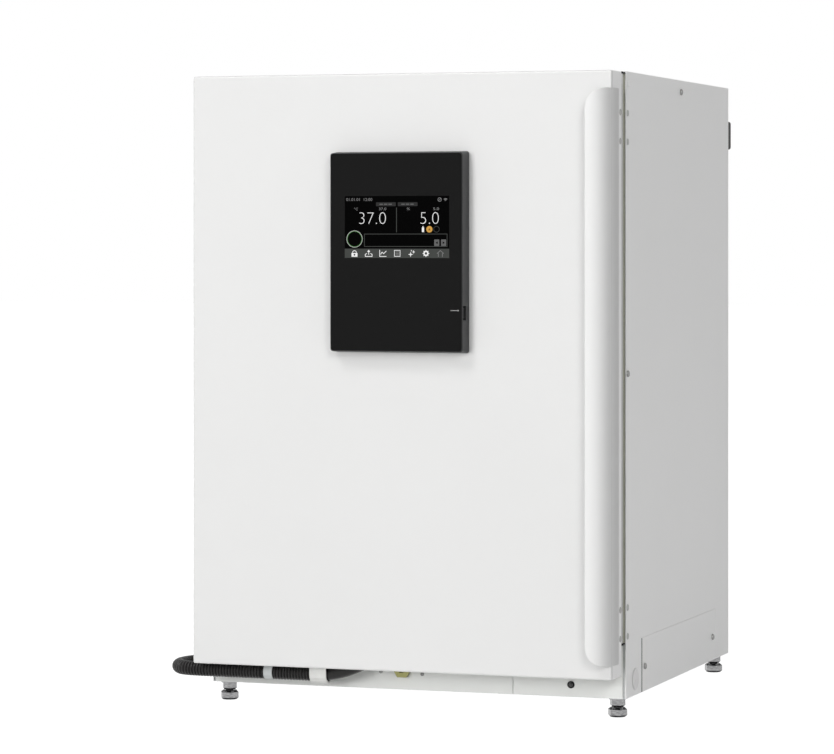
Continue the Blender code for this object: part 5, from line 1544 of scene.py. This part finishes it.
@dataclass
class Conduit(Assembly):
    """The corrugated conduit from the cabinet's side to the door, with its clamps."""

    radius: float = 0.0105
    root: float = 0.0087
    rib_shoulder: float = 0.0003
    rib_pitch: float = 0.0045
    height: float = 0.050
    run_y: float = -0.0425
    loop: tuple[Point, ...] = ((-0.3146, 0.0460), (-0.3220, 0.0459), (-0.3400, 0.0400),
                               (-0.3540, 0.0220), (-0.3580, 0.0000), (-0.3540, -0.0200),
                               (-0.3390, -0.0365), (-0.3120, -0.0425), (-0.2700, -0.0425),
                               (-0.2155, -0.0425))
    run: tuple[Point, ...] = ((-0.2152, 0.0500), (-0.1800, 0.0500), (-0.1275, 0.0500))
    tail: tuple[Point, ...] = ((-0.1290, 0.0500), (-0.1150, 0.0502), (-0.0900, 0.0560), (-0.0650, 0.0660),
                               (-0.0450, 0.0750))
    tail_radius: float = 0.0090
    tail_step: float = 0.004
    sleeve: Point = (-0.2112, -0.1980)
    sleeve_radius: float = 0.0111
    sleeve_edge: float = 0.0006

    def build(self) -> Iterator[Piece]:
        """Make the loop, the run under the door, its tail and its clamps."""
        yield dress("conduit_gland", BLACK_PLASTIC)
        yield dress("conduit_clamp", WHITE_PLASTIC, MOULDED_EDGE)
        yield self.free_loop()
        yield self.door_run()
        yield self.sleeve_clamp()

    def ribs(self, form: Form, points: Sequence[Vector]) -> None:
        """Add a corrugated length.

        Args:
            form: The conduit in the making.
            points: Places that its middle passes through.
        """
        shoulder = self.radius - self.rib_shoulder
        rib = (self.root, self.root, shoulder, self.radius, self.radius, shoulder)
        route = even_route(points, self.rib_pitch / len(rib))
        form.tube(route, [rib[index % len(rib)] for index in range(len(route))])

    def free_loop(self) -> Piece:
        """The loop between cabinet and door, left on neither body."""
        form = Form("conduit_free_loop")
        points = [Vector((x, y, self.height)) for x, y in self.loop]
        self.ribs(form, points)
        piece = form.place(CONDUIT_BLACK, "cabinet", replaces=["conduit_loop"])
        piece.parent = None
        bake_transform(piece)
        return piece

    def door_run(self) -> Piece:
        """The run under the door, which ends in a smooth tail that goes up into it."""
        form = Form("conduit_door_run")
        self.ribs(form, [Vector((x, self.run_y, z)) for x, z in self.run])
        route = smooth_route([Vector((x, self.run_y, z)) for x, z in self.tail], self.tail_step)
        form.tube(route, [self.tail_radius] * len(route))
        return form.place(CONDUIT_BLACK, "outer_door", replaces=["conduit_door"])

    def sleeve_clamp(self) -> Piece:
        """The grey sleeve clamp where the run starts."""
        start, end = self.sleeve
        bore, radius, edge = self.root, self.sleeve_radius, self.sleeve_edge
        form = Form("conduit_sleeve")
        form.turned([(bore, start), (radius - edge, start), (radius, start + edge), (radius, end - edge),
                     (radius - edge, end), (bore, end)], Axis.X, (self.run_y, self.height),
                    sides=32, ring=True)
        return form.place(SLEEVE_GREY, "outer_door")


class Tone(Enum):
    """The lit colours on the screen."""

    WHITE = LIT_WHITE
    PALE = LIT_PALE
    DIM = LIT_DIM
    GREY = LIT_GREY
    BAR = LIT_BAR
    SHADE = LIT_SHADE
    BLACK = SCREEN
    AMBER = LIT_AMBER
    RUST = LIT_RUST
    GREEN = LIT_GREEN


class Artwork:
    """Flat symbols on the screen, kept apart by tone."""

    layer_pitch = 0.00003
    layer_depth = 0.00002
    numeral_lift = 0.00005
    line_overrun = 0.7
    arc_steps = 36

    def __init__(self, left: float, top: float, face: float) -> None:
        """Start with nothing lit.

        Args:
            left: The screen's left edge.
            top: The screen's top edge.
            face: Level of the screen's surface.
        """
        self.left, self.top, self.face = left, top, face
        self.forms = {tone: Form(f"screen_{tone.name.lower()}") for tone in Tone}

    def fill(self, outline: Sequence[Point], tone: Tone, layer: int = 1) -> None:
        """Add a filled shape.

        Args:
            outline: Its points, right and down from the screen's top left corner, in millimetres.
            tone: Its colour.
            layer: How many layers it lies above the screen.
        """
        points = [(self.left + u * MILLIMETRE, self.top - v * MILLIMETRE) for u, v in outline]
        front = self.face - layer * self.layer_pitch
        self.forms[tone].slab(points, Axis.Y, front, front + self.layer_depth)

    def box(self, left: float, top: float, right: float, bottom: float, tone: Tone, layer: int = 1) -> None:
        """Add a filled rectangle, given by its edges in millimetres."""
        self.fill([(left, top), (right, top), (right, bottom), (left, bottom)], tone, layer)

    def frame(self, left: float, top: float, right: float, bottom: float, width: float, tone: Tone,
              layer: int = 1) -> None:
        """Add the outline of a rectangle.

        Args:
            left: Its left edge.
            top: Its upper edge.
            right: Its right edge.
            bottom: Its lower edge.
            width: Width of the line.
            tone: Its colour.
            layer: How many layers it lies above the screen.
        """
        self.box(left, top, right, top + width, tone, layer)
        self.box(left, bottom - width, right, bottom, tone, layer)
        self.box(left, top + width, left + width, bottom - width, tone, layer)
        self.box(right - width, top + width, right, bottom - width, tone, layer)

    def line(self, points: Sequence[Point], width: float, tone: Tone, layer: int = 1) -> None:
        """Add a line through several points.

        Args:
            points: Its points, in millimetres.
            width: Its width.
            tone: Its colour.
            layer: How many layers it lies above the screen.
        """
        for start, end in zip(points, points[1:]):
            way = Vector((end[0] - start[0], end[1] - start[1])).normalized() * width / 2
            side = Vector((-way.y, way.x))
            run = way * self.line_overrun
            first, last = Vector(start) - run, Vector(end) + run
            corners = (first + side, last + side, last - side, first - side)
            self.fill([tuple(corner) for corner in corners], tone, layer)

    def disc(self, centre: Point, radius: float, tone: Tone, layer: int = 1, sides: int = 28) -> None:
        """Add a filled disc."""
        self.fill(circle(centre, radius, sides), tone, layer)

    def arc(self, centre: Point, radius: float, width: float, tone: Tone, start: float = 0.0,
            sweep: float = 2 * pi, layer: int = 1) -> None:
        """Add a ring or a part of one.

        Args:
            centre: Its centre.
            radius: Radius of the middle of the line.
            width: Width of the line.
            tone: Its colour.
            start: Angle of its start.
            sweep: Angle that it covers.
            layer: How many layers it lies above the screen.
        """
        steps = max(3, round(self.arc_steps * sweep / (2 * pi)))
        angles = [start + sweep * step / steps for step in range(steps + 1)]
        for first, last in zip(angles, angles[1:]):
            corners = [(centre[0] + r * cos(a), centre[1] + r * sin(a)) for r, a in
                       ((radius - width / 2, first), (radius + width / 2, first),
                        (radius + width / 2, last), (radius - width / 2, last))]
            self.fill(corners, tone, layer)

    def numerals(self, text: str, left: float, top: float, right: float, bottom: float, tone: Tone,
                 thinning: float = 0.0) -> None:
        """Add numbers, fitted into a box.

        Args:
            text: The numbers.
            left: The box's left edge.
            top: Its upper edge.
            right: Its right edge.
            bottom: Its lower edge.
            tone: Their colour.
            thinning: How far each stroke's edges move inwards, as a share of the letters' height.
        """
        curve = bpy.data.curves.new("numerals", "FONT")
        curve.body = text
        curve.offset = -thinning
        letters = bpy.data.objects.new("numerals", curve)
        mesh = letters.to_mesh().copy()
        low = [min(vertex.co[axis] for vertex in mesh.vertices) for axis in (0, 1)]
        high = [max(vertex.co[axis] for vertex in mesh.vertices) for axis in (0, 1)]
        shape = bmesh.new()
        shape.from_mesh(mesh)
        for vertex in shape.verts:
            u = left + (right - left) * (vertex.co.x - low[0]) / (high[0] - low[0])
            v = bottom - (bottom - top) * (vertex.co.y - low[1]) / (high[1] - low[1])
            vertex.co = (self.left + u * MILLIMETRE, self.face - self.numeral_lift,
                         self.top - v * MILLIMETRE)
        flat = bpy.data.meshes.new("numerals")
        shape.to_mesh(flat)
        shape.free()
        self.forms[tone].mesh.from_mesh(flat)
        letters.to_mesh_clear()
        bpy.data.objects.remove(letters)
        for used in (mesh, flat):
            bpy.data.meshes.remove(used)
        bpy.data.curves.remove(curve)

    def place(self) -> Iterator[Piece]:
        """Turn each tone's shapes into a piece on the door."""
        for tone, form in self.forms.items():
            yield form.place(tone.value, "outer_door")


def star(centre: Point, size: float) -> list[Point]:
    """A four-pointed star.

    Args:
        centre: Its middle.
        size: Distance from there to each tip.

    Returns:
        Its points.
    """
    outline = []
    for step in range(8):
        reach = size if step % 2 == 0 else size * 0.3
        outline.append((centre[0] + reach * cos(step * pi / 4), centre[1] + reach * sin(step * pi / 4)))
    return outline


@dataclass
class Symbol:
    """A symbol of the toolbar, drawn round its middle in shares of its half height."""

    art: Artwork
    middle: Point
    size: float
    line: float
    layer: int = 2

    def spots(self, *points: Point) -> list[Point]:
        """Points of the symbol, in the screen's millimetres."""
        return [(self.middle[0] + u * self.size, self.middle[1] + v * self.size) for u, v in points]

    def stroke(self, *points: Point, tone: Tone = Tone.WHITE) -> None:
        """Draw a line through points of the symbol."""
        self.art.line(self.spots(*points), self.line, tone, self.layer)

    def padlock(self) -> None:
        """An open padlock."""
        left, right = self.spots((-0.92, -0.10), (0.92, 1.0))
        self.art.box(*left, *right, Tone.WHITE, self.layer)
        hinge, keyhole = self.spots((0.0, -0.15), (0.0, 0.42))
        self.art.arc(hinge, self.size * 0.62, self.line, Tone.WHITE, pi, pi, self.layer)
        self.art.disc(keyhole, self.size * 0.26, Tone.BLACK, self.layer + 1, sides=12)

    def tray(self) -> None:
        """An arrow that rises from a tray."""
        self.stroke((-0.60, 0.05), (-1.05, 0.30), (-1.05, 0.90), (1.05, 0.90), (1.05, 0.30), (0.60, 0.05))
        self.stroke((0.0, 0.35), (0.0, -0.6))
        self.art.fill(self.spots((-0.48, -0.42), (0.0, -1.05), (0.48, -0.42)), Tone.WHITE, self.layer)

    def graph(self) -> None:
        """A line in a graph."""
        self.stroke((-1.0, -0.95), (-1.0, 0.90), (1.0, 0.90))
        self.stroke((-0.72, 0.25), (-0.25, -0.35), (0.20, 0.10), (0.98, -0.62))

    def sheet(self) -> None:
        """A sheet with rows of entries."""
        top, bottom = self.spots((-0.95, -0.95), (0.95, 0.95))
        self.art.frame(*top, *bottom, self.line * 0.8, Tone.WHITE, self.layer)
        for row in (-0.45, 0.0, 0.45):
            self.stroke((-0.45, row), (0.45, row), tone=Tone.DIM)

    def stars(self) -> None:
        """A cluster of stars."""
        for u, v, size in ((-0.28, 0.30, 0.80), (0.62, -0.42, 0.55), (-0.05, -0.80, 0.30)):
            (centre,) = self.spots((u, v))
            self.art.fill(star(centre, size * self.size), Tone.WHITE, self.layer)

    def gear(self) -> None:
        """A toothed wheel."""
        self.art.arc(self.middle, self.size * 0.58, self.size * 0.42, Tone.WHITE, layer=self.layer)
        for way in circle((0.0, 0.0), 1.0, 8):
            self.stroke((way[0] * 0.78, way[1] * 0.78), (way[0] * 0.95, way[1] * 0.95))

    def house(self) -> None:
        """A roof over a door, dim because it can't be chosen."""
        self.stroke((-0.95, 0.0), (0.0, -0.85), (0.95, 0.0), tone=Tone.DIM)
        for side in (-0.62, 0.62):
            self.stroke((side, 0.05), (side, 0.90), tone=Tone.DIM)


READINGS = (
    ("37.0", (20.9, 22.8, 60.9, 38.8), Tone.WHITE, 0.028),
    ("5.0", (111.2, 22.8, 138.7, 38.8), Tone.WHITE, 0.028),
    ("37.0", (50.6, 16.2, 61.6, 19.8), Tone.DIM, 0.0),
    ("5.0", (130.6, 16.2, 139.2, 19.8), Tone.DIM, 0.0),
    ("°C", (14.0, 16.2, 19.6, 19.8), Tone.DIM, 0.0),
    ("%", (91.8, 16.2, 96.4, 19.8), Tone.DIM, 0.0),
    ("01.01.01  12:00", (2.2, 2.8, 40.8, 6.8), Tone.DIM, 0.0),
)


@dataclass
class ControlPanel(Assembly):
    """The panel on the door: housing, fascia, screen and data socket.

    Metres are used throughout, apart from the screen's symbols, which are laid out in millimetres
    from its top left corner.
    """

    screen_left: float = -0.0700
    screen_top: float = 0.7267
    screen_width: float = 0.154
    screen_height: float = 0.0863
    screen_corner: float = 0.0004
    screen_lift: float = 0.00003
    screen_depth: float = 0.0002
    toolbar_top: float = 73.4
    icon_row: float = 79.9
    icon_first: float = 14.5
    icon_pitch: float = 21.1
    icon_size: float = 4.8
    icon_line: float = 0.95
    mark: Point = (0.0922, 0.5678)
    mark_half: float = 0.0062
    mark_line: float = 0.0004
    mark_depth: float = 0.0001
    socket: Triple = (0.0082, 0.056, 0.0026)
    socket_corner: float = 0.0006
    shell: tuple[Triple, ...] = ((0.0027, 0.0064, 0.0120), (0.0027, 0.0064, 0.0006), (0.0030, 0.0067, 0.0),
                                 (0.0024, 0.0061, 0.0), (0.0024, 0.0061, 0.0120))
    tongue: Triple = (-0.0002, 0.0018, 0.0053)
    tongue_corner: float = 0.0003
    tongue_ends: Point = (0.0125, 0.0012)

    def build(self) -> Iterator[Piece]:
        """Dress the panel, then light its screen and line its socket."""
        yield dress("panel_housing", HOUSING_BLACK, MOULDED_EDGE)
        yield dress("display_glass", FASCIA, SHEET_EDGE)
        face = node_box("display_glass")[0].y
        yield self.screen(face)
        art = Artwork(self.screen_left, self.screen_top, face - self.screen_lift)
        self.readings(art)
        self.status(art)
        self.toolbar(art)
        yield from art.place()
        yield self.socket_mark(face)
        yield self.socket_shell()
        yield self.socket_tongue()

    def screen(self, face: float) -> Piece:
        """The dark screen behind the fascia's clear window.

        Args:
            face: Level of the fascia's front.

        Returns:
            The screen.
        """
        left, top = self.screen_left, self.screen_top
        outline = rounded((left, top - self.screen_height), (left + self.screen_width, top),
                          self.screen_corner, steps=2)
        form = Form("screen_window")
        form.slab(outline, Axis.Y, face - self.screen_lift, face + self.screen_depth)
        return form.place(SCREEN, "outer_door")

    def readings(self, art: Artwork) -> None:
        """Light the temperature, the gas level, their set values and the line between them.

        Args:
            art: The screen's shapes so far.
        """
        for text, box, tone, thinning in READINGS:
            art.numerals(text, *box, tone, thinning)
        art.box(76.2, 16.2, 77.2, 50.5, Tone.BAR)
        for left, right in ((46.4, 75.6), (78.6, 107.6)):
            art.fill(rounded((left, 8.8), (right, 14.2), 0.8, steps=3), Tone.SHADE)
            for dash in range(3):
                start = left + 5.2 + 6.6 * dash
                art.box(start, 10.8, start + 5.0, 12.2, Tone.GREY, 2)

    def status(self, art: Artwork) -> None:
        """Light the small symbols, the ring and the message box.

        Args:
            art: The screen's shapes so far.
        """
        art.arc((140.0, 5.3), 2.5, 0.8, Tone.DIM)
        art.line([(138.4, 6.9), (141.6, 3.7)], 0.7, Tone.DIM)
        for radius in (0.8, 2.1, 3.4):
            art.arc((148.6, 7.4), radius, 0.9, Tone.DIM, radians(225), radians(90))
        art.fill([(114.1, 44.2), (115.1, 43.4), (115.1, 42.0), (116.2, 42.0), (116.2, 43.4), (117.2, 44.2),
                  (117.2, 50.3), (114.1, 50.3)], Tone.WHITE)
        art.disc((125.0, 46.4), 4.5, Tone.AMBER)
        art.fill([(123.1, 48.0), (125.0, 44.4), (126.9, 48.0)], Tone.RUST, 2)
        art.arc((135.4, 46.4), 4.1, 0.6, Tone.BAR)
        art.arc((14.6, 59.9), 11.5, 0.7, Tone.PALE)
        art.arc((14.6, 59.9), 10.6, 0.7, Tone.GREEN)
        art.frame(28.8, 52.6, 151.3, 70.7, 0.8, Tone.BAR)
        for left, towards in ((132.1, -1.0), (142.1, 1.0)):
            middle = left + 3.7
            art.fill(rounded((left, 60.6), (left + 7.4, 69.6), 0.6, steps=3), Tone.GREY)
            art.fill([(middle + 1.7 * towards, 65.1), (middle - 1.3 * towards, 63.2),
                      (middle - 1.3 * towards, 67.0)][::int(towards)], Tone.BLACK, 2)

    def toolbar(self, art: Artwork) -> None:
        """Light the bar along the bottom with its row of symbols.

        Args:
            art: The screen's shapes so far.
        """
        art.box(0.0, self.toolbar_top, self.screen_width / MILLIMETRE, self.screen_height / MILLIMETRE,
                Tone.BAR)
        symbols = (Symbol.padlock, Symbol.tray, Symbol.graph, Symbol.sheet, Symbol.stars, Symbol.gear,
                   Symbol.house)
        for place, draw in enumerate(symbols):
            middle = (self.icon_first + place * self.icon_pitch, self.icon_row)
            draw(Symbol(art, middle, self.icon_size, self.icon_line))

    def socket_mark(self, face: float) -> Piece:
        """A small arrow that points to the data socket.

        Args:
            face: Level of the fascia's front.

        Returns:
            The arrow.
        """
        x, z = self.mark
        half, line = self.mark_half, self.mark_line
        neck, barb = x + half - 5 * line, 3.5 * line
        form = Form("socket_mark")
        form.slab([(x - half, z - line), (neck, z - line), (neck, z - barb), (x + half, z),
                   (neck, z + barb), (neck, z + line), (x - half, z + line)], Axis.Y,
                  face - self.screen_lift, face + self.mark_depth)
        return form.place(GREY_PLASTIC, "outer_door")

    def socket_shell(self) -> Piece:
        """The socket's folded metal shell, near black: painted shade for the inside of the socket."""
        y, z, right = self.socket_place()
        loops = []
        for half, tall, inset in self.shell:
            outline = rounded((y - half, z - tall), (y + half, z + tall), self.socket_corner, steps=3)
            loops.append(Axis.X.lift(outline, right - inset))
        return Form("socket_shell").loft(loops, ring=True).place(SOCKET_SHADE_STEEL, "outer_door")

    def socket_tongue(self) -> Piece:
        """The tongue inside the socket."""
        y, z, right = self.socket_place()
        front, back, tall = self.tongue
        form = Form("socket_tongue")
        form.slab(rounded((y + front, z - tall), (y + back, z + tall), self.tongue_corner, steps=2), Axis.X,
                  *(right - inset for inset in self.tongue_ends))
        return form.place(BLACK_PLASTIC, "outer_door")

    def socket_place(self) -> Triple:
        """The socket's middle seen from the side, and the level of its mouth."""
        low, high = node_box("panel_housing")
        setback, up, inset = self.socket
        return low.y + setback, low.z + up, high.x - inset


# Studio and camera

@dataclass
class Lamp:
    """A soft square lamp that looks at the cabinet."""

    name: str
    place: Triple
    size: float
    power: float
    mirrored: bool = True
    aim: Triple = (0.0, 0.0, 0.45)

    def hang(self) -> None:
        """Put the lamp in its place and point it."""
        light = bpy.data.lights.new(self.name, "AREA")
        light.shape = "SQUARE"
        light.size = self.size
        light.energy = self.power
        lamp = bpy.data.objects.new(self.name, light)
        lamp.location = self.place
        lamp.rotation_euler = (Vector(self.aim) - Vector(self.place)).to_track_quat("-Z", "Y").to_euler()
        lamp.visible_glossy = self.mirrored
        bpy.context.scene.collection.objects.link(lamp)


@dataclass
class Studio:
    """A pale floor under even, soft light."""

    floor_size: float = 60.0
    floor_colour: Colour = (0.86, 0.86, 0.86)
    glow_share: float = 0.80
    glow_strength: float = 1.24
    ambient: float = 0.24
    paper_grain: float = 3.0
    paper_gloss: Point = (0.88, 0.94)
    lamps: tuple[Lamp, ...] = (
        Lamp("key_lamp", (-2.6, -8.7, 1.5), 2.4, 318.0, mirrored=False),
        Lamp("side_lamp", (4.3, -7.4, 3.6), 2.4, 205.0),
        Lamp("high_lamp", (-2.2, -6.1, 6.9), 2.4, 200.0),
        Lamp("rear_lamp", (-1.5, 7.6, 3.6), 2.4, 90.0, mirrored=False),
    )

    def build(self) -> None:
        """Set the view transform, the world, the floor and the lamps."""
        bpy.context.scene.view_settings.view_transform = "Standard"
        self.world()
        self.floor()
        for lamp in self.lamps:
            lamp.hang()

    def backdrop_rays(self, nodes: bpy.types.Nodes, links: bpy.types.NodeLinks) -> Socket:
        """A value of 1 for the rays that should meet the white backdrop.

        Args:
            nodes: Nodes of the tree that asks.
            links: Its links.

        Returns:
            The value.
        """
        path = nodes.new("ShaderNodeLightPath")
        total = path.outputs["Is Camera Ray"]
        for name in ("Is Glossy Ray", "Is Transmission Ray"):
            add = nodes.new("ShaderNodeMath")
            add.operation = "MAXIMUM"
            links.new(total, add.inputs[0])
            links.new(path.outputs[name], add.inputs[1])
            total = add.outputs[0]
        return total

    def world(self) -> None:
        """Light the scene evenly from all sides, in front of a white backdrop."""
        world = bpy.data.worlds.new("studio_world")
        bpy.context.scene.world = world
        world.use_nodes = True
        nodes, links = world.node_tree.nodes, world.node_tree.links
        ambient, backdrop = nodes["Background"], nodes.new("ShaderNodeBackground")
        ambient.inputs["Strength"].default_value = self.ambient
        for background in (ambient, backdrop):
            background.inputs["Color"].default_value = (1.0, 1.0, 1.0, 1.0)
        mix = nodes.new("ShaderNodeMixShader")
        links.new(self.backdrop_rays(nodes, links), mix.inputs["Fac"])
        links.new(ambient.outputs["Background"], mix.inputs[1])
        links.new(backdrop.outputs["Background"], mix.inputs[2])
        links.new(mix.outputs["Shader"], nodes["World Output"].inputs["Surface"])

    def floor(self) -> None:
        """Lay a floor that is as pale as the backdrop and still takes the object's shadow."""
        half = self.floor_size / 2
        shape = bmesh.new()
        shape.faces.new([shape.verts.new((x, y, 0.0))
                         for x, y in ((-half, -half), (half, -half), (half, half), (-half, half))])
        mesh = bpy.data.meshes.new("floor")
        shape.to_mesh(mesh)
        shape.free()
        paper = bpy.data.objects.new("floor", mesh)
        bpy.context.scene.collection.objects.link(paper)
        graph = Graph("floor_paper")
        graph.set(Base_Color=(*self.floor_colour, 1.0), Specular_IOR_Level=0.0)
        graph.gloss(graph.noise(self.paper_grain), *self.paper_gloss)
        glow = graph.nodes.new("ShaderNodeEmission")
        mix = graph.nodes.new("ShaderNodeMixShader")
        share = graph.nodes.new("ShaderNodeMath")
        share.operation = "MULTIPLY"
        share.inputs[1].default_value = self.glow_share
        glow.inputs["Strength"].default_value = self.glow_strength
        graph.links.new(self.backdrop_rays(graph.nodes, graph.links), share.inputs[0])
        graph.links.new(share.outputs[0], mix.inputs["Fac"])
        graph.links.new(graph.shader.outputs["BSDF"], mix.inputs[1])
        graph.links.new(glow.outputs["Emission"], mix.inputs[2])
        graph.links.new(mix.outputs["Shader"], graph.nodes["Material Output"].inputs["Surface"])
        mesh.materials.append(graph.material)


@dataclass
class Camera:
    """The viewpoint of the picture: level, right of the cabinet and far in front."""

    place: Triple = (1.6314, -4.7191, 0.6637)
    turn: float = 0.3324
    lens: float = 151.95
    sensor: float = 36.0
    shift: float = -0.1628

    def build(self) -> None:
        """Put up the camera and make it the scene's own."""
        data = bpy.data.cameras.new("camera")
        data.sensor_fit = "HORIZONTAL"
        data.sensor_width = self.sensor
        data.lens = self.lens
        data.shift_y = self.shift
        camera = bpy.data.objects.new("camera", data)
        camera.location = Vector(self.place) + ORIGIN
        camera.rotation_euler = (pi / 2, 0.0, self.turn)
        bpy.context.scene.collection.objects.link(camera)
        bpy.context.scene.camera = camera


def main() -> None:
    """Build the studio and every assembly, and report each piece."""
    logging.basicConfig(level=logging.INFO, format="%(name)s: %(message)s")
    Studio().build()
    Camera().build()
    assemblies: tuple[Assembly, ...] = (
        Casing(), Plinth(), LevellingFeet(), Chamber(), Shelves(), Fittings(), OuterDoor(), Hinges(),
        InnerDoor(), ControlPanel(), Conduit(),
    )
    for assembly in assemblies:
        for piece in assembly.build():
            LOG.info("%s: %s", type(assembly).__name__, piece.name)


if __name__ == "__main__":
    main()
